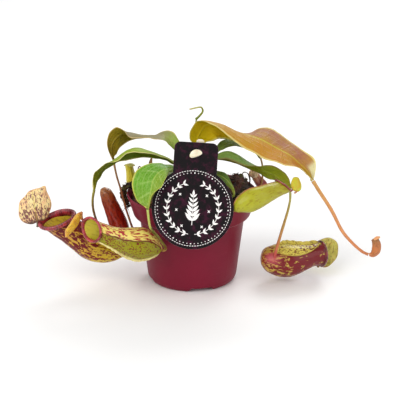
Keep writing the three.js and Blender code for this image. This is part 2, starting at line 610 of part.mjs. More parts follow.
const YOUNG = {
  pitcher_dark: { material: darkCup, rows: [
    [-66, 4, 35, 1.5], [-67.5, 4, 38, 6.5], [-68.5, 4, 46, 9.3], [-71.5, 4, 57, 8.6], [-75.5, 4, 68, 7.6],
    [-79.5, 4, 78.5, 6.6], [-82, 4, 84.6, 5], [-82.8, 4, 87.4, 1.8]] },
  pitcher_back_left: { material: yellowCup, rows: [
    [-58.6, 33.4, 73.8, 1], [-58, 33, 78.2, 4.4], [-58.2, 33, 85.2, 5], [-59.4, 33, 93.2, 3.9], [-60.3, 33, 98.6, 3.6]],
    lid: { hinge: [-65, 33, 100], along: [1, 0, 0.04], face: [-0.04, 0, 1], long: 4.5, short: 4.2, dome: 1.6 } },
  pitcher_back_right: { material: darkCup, rows: [
    [70.8, 26.4, 78, 1.2], [69, 26, 80.4, 4], [66, 25.5, 84, 5], [62.6, 24.6, 88.5, 4.4], [60, 24, 93.2, 4]],
    lid: { hinge: [57.6, 19.5, 90], along: [0.1, 0.05, 1], face: [-0.2, -0.95, 0.1], long: 4.4, short: 4.6, dome: 0.6 } },
  pitcher_bud: { material: redTendril, rows: [
    [165, -25, 31.5, 1.5], [168.4, -25, 32.2, 2.8], [171.2, -25, 36, 4.2], [171.6, -25, 41, 4.2], [170.6, -25, 45, 3.6]],
    lid: { hinge: [166.6, -25, 45.7], along: [0.9, 0, 0.44], face: [-0.44, 0, 0.9], long: 3.6, short: 3.2, dome: 1.4 } },
};

for (const [name, pod] of Object.entries(YOUNG)) {
  add(name, roundBody(pod.rows, 2 * (pod.rows.length - 1), 12), pod.material);
  if (pod.lid) add(name.replace('pitcher', 'lid'), lidGeometry(vector(pod.lid.hinge), pod.lid), pod.material);
}

// ---- moss and dried bits -------------------------------------------------------------

const BITS = {
  moss_left: { material: moss, rows: [
    [-43, 9, 83.6, 3], [-49, 8.6, 85, 4], [-55, 7, 88.2, 3.2], [-60.5, 4.6, 88.8, 2.3], [-64, 3, 86, 1.9],
    [-63.6, 2, 81, 1.8], [-61.8, 1.4, 75, 1.8], [-59.6, 1, 69, 1.2]] },
  moss_right: { material: moss, rows: [
    [31, -27, 84.5, 3.3], [39, -17, 86.5, 5.5], [45, -4, 88, 7.1], [45.5, 10, 88.8, 7.3], [41, 22, 87.5, 6.6],
    [34, 31, 84.4, 3.4]] },
  dried_leaf: { material: dry, rows: [
    [-24, 6, 83.2, 1.5], [-30, 5, 91, 2.4], [-35, 3, 101, 3], [-38, 2, 110, 2.8], [-37.4, 2, 117, 1]] },
  dried_curl_left: { material: dry, rows: [
    [-40, 30, 81, 1], [-45.4, 29.5, 88, 1.1], [-49.6, 28, 94, 1.2], [-51.2, 26, 99, 1.2], [-50, 24, 102, 1.1],
    [-48.2, 22.6, 100.8, 0.8]] },
  dried_curl_right: { material: dry, rows: [
    [52, 19, 79.1, 1], [54.6, 17, 88, 1.2], [54, 14.6, 95, 1.3], [51.6, 12.8, 99.4, 1.3], [48.6, 12, 100, 1.1],
    [47.4, 12, 98.4, 0.8]] },
};

for (const [name, bit] of Object.entries(BITS)) {
  add(name, roundBody(bit.rows, 2 * (bit.rows.length - 1), 8), bit.material);
}

export default plant;
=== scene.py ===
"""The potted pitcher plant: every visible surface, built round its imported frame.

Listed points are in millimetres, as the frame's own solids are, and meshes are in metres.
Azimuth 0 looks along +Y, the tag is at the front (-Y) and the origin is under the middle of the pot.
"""
import math

import bmesh
import bpy
import numpy as np
from mathutils import Matrix, Vector, noise


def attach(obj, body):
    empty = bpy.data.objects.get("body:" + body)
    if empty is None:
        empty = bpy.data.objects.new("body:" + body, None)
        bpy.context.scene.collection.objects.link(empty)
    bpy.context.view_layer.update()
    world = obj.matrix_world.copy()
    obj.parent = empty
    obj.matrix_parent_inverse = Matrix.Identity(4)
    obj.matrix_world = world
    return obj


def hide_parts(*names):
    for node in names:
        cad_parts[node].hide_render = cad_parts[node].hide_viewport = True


bl_info = {
    "name": "Potted pitcher plant",
    "version": (1, 0, 0),
    "blender": (4, 5, 0),
    "location": "3D View > Sidebar > Pitcher plant",
    "description": "Builds a pitcher plant in a nursery pot with a round card tag",
    "category": "Object",
}

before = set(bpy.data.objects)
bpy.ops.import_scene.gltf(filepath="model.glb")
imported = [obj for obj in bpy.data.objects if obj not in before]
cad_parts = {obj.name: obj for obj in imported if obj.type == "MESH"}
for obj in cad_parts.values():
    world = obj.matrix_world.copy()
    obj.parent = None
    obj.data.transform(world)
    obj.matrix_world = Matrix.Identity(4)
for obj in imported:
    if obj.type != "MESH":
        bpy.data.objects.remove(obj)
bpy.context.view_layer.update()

MM = 0.001
BODY = "root"


# ---- numbers and curves -------------------------------------------------------------


def unit(vectors):
    vectors = np.asarray(vectors, float)
    return vectors / np.maximum(np.linalg.norm(vectors, axis=-1, keepdims=True), 1e-9)


def smooth(low, high, value):
    f = np.clip((np.asarray(value, float) - low) / (high - low), 0, 1)
    return f * f * (3 - 2 * f)


def bump_at(middle, width, value):
    """1 at the middle, falling off to 0 over about twice the width."""
    return np.exp(-(((np.asarray(value, float) - middle) / width) ** 2))


def spline(rows, t):
    """Points of the smooth curve through rows of numbers, for every t from 0 to 1."""
    rows = np.asarray(rows, float)
    last = len(rows) - 1
    place = np.clip(np.atleast_1d(t), 0, 1) * last
    i = np.minimum(place.astype(int), last - 1)
    f = (place - i)[:, None]
    before, here, there, after = (rows[np.clip(i + k, 0, last)] for k in (-1, 0, 1, 2))
    leave, arrive = (there - before) / 2, (after - here) / 2
    return ((2 * f**3 - 3 * f**2 + 1) * here + (f**3 - 2 * f**2 + f) * leave
            + (3 * f**2 - 2 * f**3) * there + (f**3 - f**2) * arrive)


def table(text):
    """Rows of numbers written out with a comma between rows."""
    return np.array([row.split() for row in text.split(",")], float)


def circle(sides):
    """Angles once round, evenly spaced."""
    return np.linspace(0, 2 * np.pi, sides, endpoint=False)


def points_of(*coordinates):
    """Points from their coordinates, each a number or an array, spread to one shape."""
    return np.stack(np.broadcast_arrays(*coordinates), axis=-1)


def direction_along(rows, t):
    step = 0.02
    rows = np.asarray(rows, float)[:, :3]
    return unit(spline(rows, t + step) - spline(rows, t - step))


def cross_axes(direction, hint):
    """Two unit vectors square to a direction, the first as near to the hint as it can be."""
    direction, hint = np.asarray(direction, float), np.asarray(hint, float)
    first = unit(hint - direction * np.sum(hint * direction, axis=-1, keepdims=True))
    return first, np.cross(direction, first)


def travel(points):
    """Distance run along a line of points, in millimetres."""
    steps = np.linalg.norm(np.diff(points, axis=0), axis=1)
    return np.concatenate([[0], np.cumsum(steps)])


def wobble(points, size, seed=0.0):
    """Smooth noise from -1 to 1 at each point, with bumps of about the given size."""
    flat = np.asarray(points, float).reshape(-1, 3) / size + seed * 17.3
    values = [noise.noise(Vector(p)) for p in flat]
    return np.array(values).reshape(np.asarray(points).shape[:-1])


# ---- meshes ---------------------------------------------------------------------------


def add_object(name, data):
    """A new object in the scene."""
    made = bpy.data.objects.new(name, data)
    bpy.context.scene.collection.objects.link(made)
    return made


class Build:
    """Gathers grids of points into one mesh. Each point carries numbers that the materials read:
    along (0 to 1 on the piece's length), across, side, lean, and place, its spot on the piece
    laid out straight, in millimetres."""

    NUMBERS = ("along", "across", "side", "lean")

    def __init__(self):
        self.points = []
        self.numbers = []
        self.places = []
        self.faces = []
        self.count = 0

    def add(self, points, along=0.0, across=0.0, side=0.0, lean=0.0, place=None):
        """Adds points of any grid shape, and returns their indices in the same shape."""
        points = np.asarray(points, float)
        shape = points.shape[:-1]
        marks = [np.broadcast_to(np.asarray(m, float), shape).ravel() for m in (along, across, side, lean)]
        self.points.append(points.reshape(-1, 3))
        self.numbers.append(np.stack(marks, axis=1))
        self.places.append((points if place is None else np.asarray(place, float)).reshape(-1, 3))
        total = int(np.prod(shape))
        index = np.arange(self.count, self.count + total).reshape(shape)
        self.count += total
        return index

    def quads(self, index, wrap=False):
        """Faces between neighbouring points of a grid, closed round its second axis if wrap is set."""
        if wrap:
            index = np.concatenate([index, index[:, :1]], axis=1)
        a, b, c, d = index[:-1, :-1], index[1:, :-1], index[1:, 1:], index[:-1, 1:]
        self.faces.extend(np.stack([a, b, c, d], axis=-1).reshape(-1, 4).tolist())

    def fan(self, ring):
        """Closes a ring of points with triangles round its middle."""
        flat = np.concatenate(self.points)[ring]
        numbers = np.concatenate(self.numbers)[ring].mean(axis=0)
        place = np.concatenate(self.places)[ring].mean(axis=0)
        middle = int(self.add(flat.mean(axis=0)[None], *numbers, place=place[None])[0])
        for a, b in zip(ring, np.roll(ring, -1)):
            self.faces.append([int(a), int(b), middle])

    def solid_grid(self, index):
        """A closed tube: a wrapped grid with both ends fanned shut."""
        self.quads(index, wrap=True)
        self.fan(index[0])
        self.fan(index[-1])

    def sheet(self, top, bottom):
        """A closed sheet from two grids of the same shape, joined round the edge."""
        self.quads(top)
        self.quads(bottom)
        for a, b in ((top, bottom), (top.T, bottom.T)):
            self.quads(np.stack([a[0], b[0]]))
            self.quads(np.stack([a[-1], b[-1]]))

    def piece(self, name, material, slot, *nodes, sharp=None):
        """Makes the mesh object, gives it its finish, and seats it on the plant's body."""
        mesh = bpy.data.meshes.new(name)
        mesh.from_pydata((np.concatenate(self.points) * MM).tolist(), [], self.faces)
        numbers = np.concatenate(self.numbers).astype(np.float32)
        for column, word in enumerate(self.NUMBERS):
            layer = mesh.attributes.new(word, "FLOAT", "POINT")
            layer.data.foreach_set("value", np.ascontiguousarray(numbers[:, column]))
        layer = mesh.attributes.new("place", "FLOAT_VECTOR", "POINT")
        layer.data.foreach_set("vector", np.concatenate(self.places).astype(np.float32).ravel())
        shape = bmesh.new()
        shape.from_mesh(mesh)
        bmesh.ops.recalc_face_normals(shape, faces=shape.faces)
        shape.to_mesh(mesh)
        shape.free()
        mesh.shade_smooth()
        if sharp:
            mesh.set_sharp_from_angle(angle=math.radians(sharp))
        mesh.materials.append(material)
        made = add_object(name, mesh)
        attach(made, BODY)
        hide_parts(*nodes)
        return made


def ring_axes(rows, t, hint):
    """Axes square to a line of points, carried along it without twisting."""
    pairs = []
    for way in direction_along(rows, t):
        first, second = cross_axes(way, hint)
        hint = first
        pairs.append((first, second))
    return np.array(pairs).transpose(1, 0, 2)


def outward(rows, t, angle, hint):
    """Unit vectors that point away from a line of points, for every t and angle."""
    first, second = ring_axes(rows, t, hint)
    return first[:, None] * np.cos(angle)[:, None] + second[:, None] * np.sin(angle)[:, None]


def round_body(build, rows, steps, sides, swell=None, hint=(0, 0, 1), side=0.0):
    """A closed round body through rows of x, y, z and radius. swell(t, angle) adds to the radius."""
    t, angle = np.linspace(0, 1, steps + 1), circle(sides)
    curve = spline(rows, t)
    radius = np.maximum(curve[:, 3:4], 0.05) * np.ones((1, sides))
    if swell is not None:
        radius = radius + swell(t[:, None], angle[None])
    points = curve[:, None, :3] + radius[..., None] * outward(rows, t, angle, hint)
    run = travel(curve[:, :3])[:, None]
    place = points_of(radius * np.cos(angle), radius * np.sin(angle), run)
    across = np.abs(angle - np.pi) / np.pi
    build.solid_grid(build.add(points, t[:, None], across, side, np.sin(angle), place))


# ---- shader sums -------------------------------------------------------------------------


def srgb(text):
    """A colour written as #rrggbb, as the linear colour a shader takes."""
    parts = (int(text[k:k + 2], 16) / 255 for k in (1, 3, 5))
    return tuple(c / 12.92 if c <= 0.04045 else ((c + 0.055) / 1.055) ** 2.4 for c in parts) + (1.0,)


def toned(color, factor):
    """A colour made darker or lighter."""
    parts = srgb(color) if isinstance(color, str) else color
    return tuple(min(c * factor, 1) for c in parts[:3]) + (1.0,)


def sign(operation):
    """The method for one of Python's signs between shader numbers, and its reflected method."""
    def straight(self, other):
        return self._with(operation, self, other)

    def reflected(self, other):
        return self._with(operation, other, self)
    return straight, reflected


class Sum:
    """A number in a shader. Python's own signs add Math nodes to its tree."""

    def __init__(self, paint, socket):
        self.paint = paint
        self.socket = socket

    def _with(self, operation, *values):
        made = self.paint.node("ShaderNodeMath", {"operation": operation}, dict(enumerate(values)))
        return Sum(self.paint, made.outputs[0])

    __add__, __radd__ = sign("ADD")
    __sub__, __rsub__ = sign("SUBTRACT")
    __mul__, __rmul__ = sign("MULTIPLY")

    def __abs__(self):
        return self._with("ABSOLUTE", self)

    def sine(self):
        return self._with("SINE", self)

    def either(self, other):
        return self._with("MAXIMUM", self, other)

    def rise(self, low, high):
        """0 below low, 1 above high and smooth between. It falls where low is above high."""
        if low > high:
            return 1 - self.rise(high, low)
        made = self.paint.node("ShaderNodeMapRange", {"interpolation_type": "SMOOTHSTEP"},
                               {"Value": self, "From Min": low, "From Max": high})
        return Sum(self.paint, made.outputs["Result"])

    def near(self, middle, width):
        """1 at the middle and 0 beyond a width from it."""
        return abs(self - middle).rise(width, 0.0)


class Paint:
    """One material being made. A colour is a socket, #rrggbb or plain values, a number a Sum or plain."""

    def __init__(self, name):
        self.material = bpy.data.materials.new(name)
        self.material.use_nodes = True
        self.tree = self.material.node_tree
        self.tree.nodes.clear()

    def node(self, kind, settings=None, inputs=None):
        """Any node: its settings first, then its sockets' values or links, by name or place."""
        made = self.tree.nodes.new(kind)
        for word, value in (settings or {}).items():
            if word == "stops":
                ramp = made.color_ramp
                for spot, _ in value[len(ramp.elements):]:
                    ramp.elements.new(spot)
                for element, (spot, color) in zip(ramp.elements, value):
                    element.position = spot
                    element.color = color
            else:
                setattr(made, word, value)
        for word, value in (inputs or {}).items():
            socket = made.inputs[word]
            if isinstance(value, Sum):
                value = value.socket
            elif isinstance(value, str):
                value = srgb(value)
            if isinstance(value, bpy.types.NodeSocket):
                self.tree.links.new(value, socket)
            else:
                socket.default_value = value
        return made

    def mark(self, word):
        """A number that the mesh carries on its points."""
        made = self.node("ShaderNodeAttribute", {"attribute_name": word})
        return Sum(self, made.outputs["Fac"])

    def spot(self, stretch=(1, 1, 1)):
        """The point's place on the piece laid out straight, in millimetres, stretched by axis."""
        made = self.node("ShaderNodeAttribute", {"attribute_name": "place"})
        if stretch == (1, 1, 1):
            return made.outputs["Vector"]
        scaled = self.node("ShaderNodeVectorMath", {"operation": "MULTIPLY"},
                           {0: made.outputs["Vector"], 1: stretch})
        return scaled.outputs["Vector"]

    def world(self):
        """The point itself, in millimetres."""
        made = self.node("ShaderNodeTexCoord")
        scaled = self.node("ShaderNodeVectorMath", {"operation": "SCALE"},
                           {0: made.outputs["Object"], "Scale": 1 / MM})
        return scaled.outputs["Vector"]

    def noise(self, vector, size, detail=3.0, rough=0.55, warp=0.0):
        """Cloudy noise from 0 to 1, with features of about the given size."""
        made = self.node("ShaderNodeTexNoise", None,
                         {"Vector": vector, "Scale": 1 / size, "Detail": detail, "Roughness": rough,
                          "Distortion": warp})
        return Sum(self, made.outputs["Fac"])

    def cells(self, vector, size, feature="F1"):
        """Distance to the nearest cell point, about 0 to 1 over a cell of the given size."""
        made = self.node("ShaderNodeTexVoronoi", {"feature": feature},
                         {"Vector": vector, "Scale": 1 / size, "Randomness": 1.0})
        return Sum(self, made.outputs["Distance"])

    def mix(self, amount, low, high):
        return self.node("ShaderNodeMix", {"data_type": "RGBA"}, {0: amount, 6: low, 7: high}).outputs[2]

    def layers(self, color, *coats):
        """A colour with others laid over it in turn, each written as its amount and its colour."""
        for amount, coat in coats:
            color = self.mix(amount, color, coat)
        return color

    def ramp(self, amount, text):
        """A run of colours, written as places from 0 to 1 each with its colour."""
        stops = [(float(spot), srgb(color)) for spot, color in map(str.split, text.split(","))]
        return self.node("ShaderNodeValToRGB", {"stops": stops}, {"Fac": amount}).outputs["Color"]

    def bump(self, height, depth):
        """A normal bent by a height of the given depth in millimetres."""
        inputs = {"Height": height, "Strength": 1.0, "Distance": depth * MM}
        return self.node("ShaderNodeBump", None, inputs).outputs["Normal"]

    def done(self, color, roughness, normal=None, **fixed):
        """Ends the material with one surface shader. fixed are the shader's constant sockets."""
        inputs = {"Base Color": color, "Roughness": roughness}
        if normal is not None:
            inputs["Normal"] = normal
        inputs.update({word.replace("_", " "): value for word, value in fixed.items()})
        surface = self.node("ShaderNodeBsdfPrincipled", None, inputs)
        self.node("ShaderNodeOutputMaterial", None, {"Surface": surface.outputs[0]})
        return self.material


# ---- finishes ------------------------------------------------------------------------------


def pot_plastic(tint):
    """along is the height, and side is 1 on the inside, where soil clings."""
    paint = Paint("pot_plastic")
    point = paint.world()
    cloud = paint.noise(point, 38, 4)
    scuffs = paint.noise(paint.spot((0.25, 0.25, 2.2)), 7, 5, 0.7)
    dust = paint.noise(point, 5, 6, 0.65)
    height = paint.mark("along")
    worn = (scuffs.rise(0.6, 0.78) * 0.35 + height.rise(0.93, 1.0) * dust.rise(0.5, 0.72) * 0.5)
    color = paint.mix(cloud.rise(0.3, 0.75), toned(tint, 0.86), tint)
    color = paint.mix(worn * 0.35, color, "#a85c64")
    soiled = paint.mark("side") * dust.rise(0.42, 0.6)
    color = paint.mix(soiled * 0.75, color, "#4a3228")
    grain = paint.noise(point, 0.7, 2)
    normal = paint.bump(grain + scuffs * 0.8, 0.07)
    return paint.done(color, 0.36 + 0.16 * dust + 0.2 * worn, normal, Specular_IOR_Level=0.2)


def potting_mix():
    """across is 0 on the mix, 1 on bark and 2 on perlite."""
    paint = Paint("potting_mix")
    point = paint.world()
    clods = paint.noise(point, 5, 6, 0.7)
    fibre = paint.noise(paint.spot((1, 4, 1)), 3, 5, 0.7, 1.5)
    kind = paint.mark("across")
    color = paint.ramp(clods, "0.25 #1a120c, 0.5 #3e2a1c, 0.75 #684c30")
    color = paint.mix(fibre.rise(0.58, 0.7) * 0.6, color, "#80623e")
    bark = paint.mix(paint.noise(point, 1.6, 5).rise(0.35, 0.7), "#3a2216", "#865836")
    color = paint.layers(
        color,
        (kind.near(1, 0.3), bark),
        (kind.near(2, 0.3), "#ded6c8"))
    grit = paint.noise(point, 1.1, 6, 0.75)
    return paint.done(color, 0.85 + 0.12 * grit, paint.bump(grit + clods, 0.9))


def moss_finish():
    """across is 0 on dark moss, 1 on red brown scraps and roots, and 2 on green ones."""
    paint = Paint("moss")
    point = paint.world()
    patches = paint.noise(point, 6, 5, 0.65)
    kind = paint.mark("across")
    color = paint.ramp(patches, "0.3 #0c0806, 0.52 #26160e, 0.75 #4c341c")
    color = paint.layers(
        color,
        (kind.near(1, 0.3), "#542a1c"),
        (kind.near(2, 0.3), "#544e22"))
    fur = paint.noise(point, 0.8, 5, 0.75)
    return paint.done(color, 0.8 + 0.15 * fur, paint.bump(fur, 0.6))


def tag_card_finish():
    """across is 1 on the card's bare edge."""
    paint = Paint("tag_card")
    point = paint.spot()
    blots = paint.noise(point, 9, 6, 0.72)
    spots = paint.noise(point, 4, 5, 0.7)
    color = paint.mix(blots.rise(0.48, 0.62) * 0.8, "#0e090d", "#3a0e26")
    color = paint.mix(spots.rise(0.6, 0.7) * 0.55, color, "#4e1432")
    edge = paint.mark("across")
    color = paint.mix(edge, color, "#a8a09c")
    rub = paint.noise(point, 14, 6, 0.7)
    normal = paint.bump(paint.noise(point, 0.5, 2), 0.015)
    return paint.done(color, 0.4 + 0.2 * rub, normal, Specular_IOR_Level=0.15)


def tag_ink_finish():
    paint = Paint("tag_ink")
    wear = paint.noise(paint.world(), 1.4, 5, 0.7)
    color = paint.mix(wear.rise(0.62, 0.8) * 0.5, "#f6f3f0", "#beb0b8")
    return paint.done(color, 0.4 + 0.2 * wear, paint.bump(wear, 0.02))


def stake_plastic(tint):
    """along is the height, and the foot of the strip is soiled."""
    paint = Paint("stake_plastic")
    point = paint.world()
    cloud = paint.noise(point, 6, 4)
    color = paint.mix(cloud.rise(0.35, 0.75), tint, "#f4ecd6")
    low = paint.mark("along").rise(0.42, 0.36)
    color = paint.mix(low * paint.noise(point, 3, 5).rise(0.4, 0.6) * 0.7, color, "#604a34")
    return paint.done(color, 0.28 + 0.2 * cloud, paint.bump(paint.noise(point, 0.9, 3), 0.05),
                      Subsurface_Weight=0.15, Subsurface_Scale=0.003)


def stem_bark():
    paint = Paint("woody_stem")
    ribs = paint.noise(paint.spot((1, 1, 0.25)), 1.6, 5, 0.65)
    cloud = paint.noise(paint.world(), 7, 4)
    color = paint.mix(ribs.rise(0.35, 0.65), "#302814", "#767438")
    color = paint.mix(cloud.rise(0.5, 0.75) * 0.6, color, "#543422")
    return paint.done(color, 0.6 + 0.3 * ribs, paint.bump(ribs, 0.5))


def leaf_skin(name, look):
    """A leaf's finish. across runs from -1 at the near edge to 1 at the far one, side is 1 underneath."""
    paint = Paint(name)
    along, across, under = paint.mark("along"), paint.mark("across"), paint.mark("side")
    run = paint.mark("lean")
    out = abs(across)
    cloud = paint.noise(paint.spot(), 11, 4, 0.6)
    fine = paint.noise(paint.spot((1, 1, 0.6)), 1.5, 4, 0.65)
    slant = (run * 0.62 - out * 5.2 + cloud * 2.4).sine()
    veins = slant.rise(0.72, 1.0) * out.rise(0.98, 0.5)
    lines = out.near(0.3, 0.05).either(out.near(0.56, 0.05)).either(out.near(0.8, 0.04))
    net = paint.cells(paint.spot((1, 1, 0.55)), 1.7, "DISTANCE_TO_EDGE").rise(0.16, 0.02)
    upper = paint.ramp(along, look["upper"])
    if "far" in look:
        upper = paint.mix(across.rise(-0.12, 0.3), upper, paint.ramp(along, look["far"]))
    upper = paint.mix(cloud.rise(0.4, 0.72) * look.get("cloud", 0.35), upper, look["cloud_color"])
    pale = (veins * 0.4 + lines * 0.3 + net * 0.25) * look.get("veins", 0.4)
    upper = paint.mix(pale, upper, look["vein_color"])
    below = paint.ramp(along, look["under"])
    below = paint.mix(cloud.rise(0.35, 0.7) * 0.4, below, look["under_cloud"])
    below = paint.mix((veins * 0.4 + net * 0.3) * 0.3, below, look["under_vein"])
    # painted highlight: the far half of the tip is laid over with a whitish glare, where the leaf curls
    # down and catches the light
    if "tip_glare_color" in look:
        tip = along.rise(0.84, 0.9) * across.rise(0.15, 0.5)
        upper = paint.mix(tip * 0.8, upper, look["tip_glare_color"])
        below = paint.mix(tip * 0.8, below, look["tip_glare_color"])
    color = paint.mix(under, upper, below)
    rib = out.near(0.0, look.get("rib_width", 0.07)) * along.rise(1.0, 0.93)
    color = paint.mix(rib * (1 - under * 0.6) * look.get("rib", 0.7), color, look["rib_color"])
    width = look.get("margin_width", 0.07)
    edge = out.rise(1 - width, 1 - width * 0.35) * look.get("margin", 0.75)
    color = paint.mix(edge, color, look["margin_color"])
    near_edge = out.rise(0.45, 0.95) * look.get("freckles", 0.0)
    dots = paint.cells(paint.spot(), 2.3).rise(0.3, 0.16) * fine.rise(0.42, 0.6)
    color = paint.mix(dots * near_edge, color, "#785228")
    worn = paint.noise(paint.spot(), 4, 5, 0.7).rise(0.66, 0.78) * 0.3
    color = paint.mix(worn, color, "#786834")
    shine = look.get("rough", 0.34) + 0.16 * fine + 0.16 * under
    normal = paint.bump(1.1 * veins + 0.9 * lines + 0.45 * net + 0.5 * fine, 0.22)
    return paint.done(color, shine, normal, Subsurface_Weight=0.22, Subsurface_Scale=0.0016,
                      Subsurface_Radius=(0.9, 1.0, 0.25), Specular_IOR_Level=0.2)


def tendril_skin(name, stops):
    """Coloured along its length, with fine streaks and dots."""
    paint = Paint(name)
    along = paint.mark("along")
    streaks = paint.noise(paint.spot((1, 1, 0.12)), 1.1, 4, 0.6)
    color = paint.ramp(along, stops)
    color = paint.layers(
        color,
        (streaks.rise(0.5, 0.7) * 0.3, "#784626"),
        (streaks.rise(0.46, 0.3) * 0.25, "#e2c478"))
    dots = paint.cells(paint.spot(), 1.1).rise(0.3, 0.15)
    color = paint.mix(dots * 0.3, color, "#5c2c1c")
    return paint.done(color, 0.34 + 0.2 * streaks, paint.bump(streaks + dots, 0.12),
                      Specular_IOR_Level=0.3, Subsurface_Weight=0.15, Subsurface_Scale=0.001)


def cup_skin(name, look):
    """A pitcher's finish. across is 0 between the wings and 1 at the lid, side is 1 inside the cup
    and 2 on the wings, and lean tells its two sides apart."""
    paint = Paint(name)
    along, across, part = paint.mark("along"), paint.mark("across"), paint.mark("side")
    inside, wing = part.near(1, 0.4), part.rise(1.5, 1.9)
    cloud = paint.noise(paint.spot(), 13, 4)
    streaks = paint.noise(paint.spot((1, 1, 0.27)), look.get("streak_size", 1.7), 4, 0.55, 0.5)
    blots = paint.noise(paint.spot((1, 1, 0.55)), look.get("blot_size", 5.5), 4, 0.6)
    fine = paint.noise(paint.spot((1, 1, 0.5)), 1.1, 4, 0.6)
    ground = paint.mix(cloud.rise(0.4, 0.7) * 0.4, paint.ramp(along, look["ground"]), look["ground_cloud"])
    cover = look["cover"]
    crowd = along.rise(*look.get("thicken", (0.3, 0.9))) * look.get("gain", 0.0)
    marks = (streaks + crowd).rise(cover, cover + 0.05)
    marks = marks.either((blots + crowd * 0.4).rise(look["blots"], look["blots"] + 0.04))
    color = paint.mix(marks * look.get("strength", 0.9), ground, paint.ramp(along, look["marks"]))
    if "upper" in look:
        zone = (across + cloud * 0.1).rise(1.04, 1.1)
        fresh = streaks.rise(0.5, 0.56).either(blots.rise(0.58, 0.64))
        color = paint.mix(zone, color, paint.mix(fresh, look["upper"], look["upper_streak"]))
    if "face" in look:
        specks = paint.noise(paint.spot((1, 1, 0.8)), 1.5, 3, 0.6)
        specks = specks + along.rise(0.45, 0.95) * look.get("crowd", 0.09)
        few = look.get("few", 0.58)
        face = paint.mix(specks.rise(few, few + 0.04), look["face"], look["speck"])
        start = look.get("face_from", 0.0)
        color = paint.mix(across.rise(1.03, 0.97) * along.rise(start, start + 0.08), color, face)
    # painted highlight: a pink patch on one flank, about a third of the way up the body, where light
    # catches its bend by the tendril
    if "bend_highlight" in look:
        front = paint.mark("lean").rise(-0.1, 0.4)
        color = paint.mix(along.near(0.3, 0.16) * across.near(1.12, 0.3) * front, color, look["bend_highlight"])
    within = paint.mix(streaks.rise(0.5, 0.62) * 0.5, look["inside"], look["inside_streak_and_shade"])
    # painted shade: the inside darkens towards the cup's floor, deeper in the hollow; the same dark colour
    # also draws the inside's streaks
    within = paint.mix(along.rise(0.8, 0.4), within, look["inside_streak_and_shade"])
    color = paint.mix(inside, color, within)
    behind = look["wing_color"]
    fin = paint.mix(paint.mark("lean").rise(-0.2, 0.2), behind, look.get("front_wing", behind))
    fin = paint.mix(fine.rise(0.5, 0.62) * look.get("wing_specks", 0.3), fin, look["speck"])
    color = paint.mix(wing, color, fin)
    normal = paint.bump(fine * 0.5 + streaks * 0.5 + cloud, 0.3)
    return paint.done(color, 0.26 + 0.14 * fine + 0.1 * inside + 0.25 * wing, normal,
                      Subsurface_Weight=0.08, Subsurface_Scale=0.0015, Subsurface_Radius=(1.0, 0.5, 0.2),
                      Specular_IOR_Level=0.25, Coat_Weight=look.get("coat", 0.1), Coat_Roughness=0.12)


def lip_skin(name, dark, light, count):
    """The ribbed collar round a mouth. across runs from 0 at the front to 1 at the lid, and side
    runs round its roll."""
    paint = Paint(name)
    across, roll = paint.mark("across"), paint.mark("side")
    ribs = (across * (math.pi * count)).sine()
    cloud = paint.noise(paint.world(), 5, 4)
    bands = paint.noise(paint.spot(), 3.2, 3)
    # the light colour is partly painted highlight: the pink of the collar's highlights, laid in random
    # cloudy patches over its own dark tone
    color = paint.mix(cloud.rise(0.35, 0.7), dark, light)
    color = paint.layers(
        color,
        (bands.rise(0.55, 0.68) * 0.45, toned(dark, 0.45)),
        # partly painted highlight: the rib crests are lightened with a brighter pink
        (ribs.rise(0.4, 1.0) * 0.22, toned(light, 1.7)),
        # painted shade: the collar darkens where its roll tucks under into the mouth
        (roll.near(0.0, 0.16) * 0.5, toned(dark, 0.4)))
    return paint.done(color, 0.16 + 0.12 * cloud, paint.bump(ribs * 0.5 + cloud * 0.6, 0.22),
                      Coat_Weight=0.4, Coat_Roughness=0.08, Subsurface_Weight=0.1,
                      Subsurface_Scale=0.001)


def lid_skin(name, look):
    """across runs from side to side, lean is 1 at the rim, and side is 1 underneath and 2 on the neck."""
    paint = Paint(name)
    along, across = paint.mark("along"), paint.mark("across")
    out = abs(across)
    streaks = paint.noise(paint.spot((1, 0.42, 1)), look.get("grain", 1.25), 4, 0.6, 0.4)
    fine = paint.noise(paint.spot(), 1.0, 4)
    cloud = paint.noise(paint.spot(), 8, 3)
    color = paint.mix(cloud.rise(0.4, 0.7), look["ground"], look["ground_cloud"])
    middle = out.rise(0.9, 0.2) * 0.035 + along.rise(0.6, 0.1) * look.get("foot_dark", 0.03)
    lines = (streaks + middle).rise(look["cover"], look["cover"] + 0.05)
    color = paint.mix(lines * look.get("strength", 0.8), color, look["streak"])
    keel = out.near(0.0, 0.07) * look.get("keel", 0.6)
    color = paint.layers(
        color,
        (keel, look["keel_color"]),
        (paint.mark("lean").rise(0.9, 1.0) * 0.6, look["rim"]))
    neck = along.rise(0.16, 0.0).either(paint.mark("side").rise(1.4, 1.8))
    color = paint.mix(neck * 0.85, color, look["foot_color"])
    normal = paint.bump(streaks * 0.6 + fine * 0.5 + cloud, 0.25)
    return paint.done(color, look.get("rough", 0.42) + 0.15 * fine, normal, Subsurface_Weight=0.25,
                      Subsurface_Scale=0.0015)


def pod_skin(name, ground, top, dark, freckles, rough):
    """A young pitcher that is still shut."""
    paint = Paint(name)
    along = paint.mark("along")
    streaks = paint.noise(paint.spot((1, 1, 0.22)), 1.8, 4, 0.6, 0.6)
    blots = paint.noise(paint.spot((1, 1, 0.6)), 4.5, 4)
    color = paint.mix(along.rise(0.5, 1.0), ground, top)
    color = paint.mix((streaks.rise(0.5, 0.6)).either(blots.rise(0.58, 0.66)) * freckles, color, dark)
    normal = paint.bump(streaks + blots * 0.6, 0.3)
    return paint.done(color, rough + 0.2 * streaks, normal, Coat_Weight=0.5, Coat_Roughness=0.12,
                      Specular_IOR_Level=0.3, Subsurface_Weight=0.1, Subsurface_Scale=0.001)


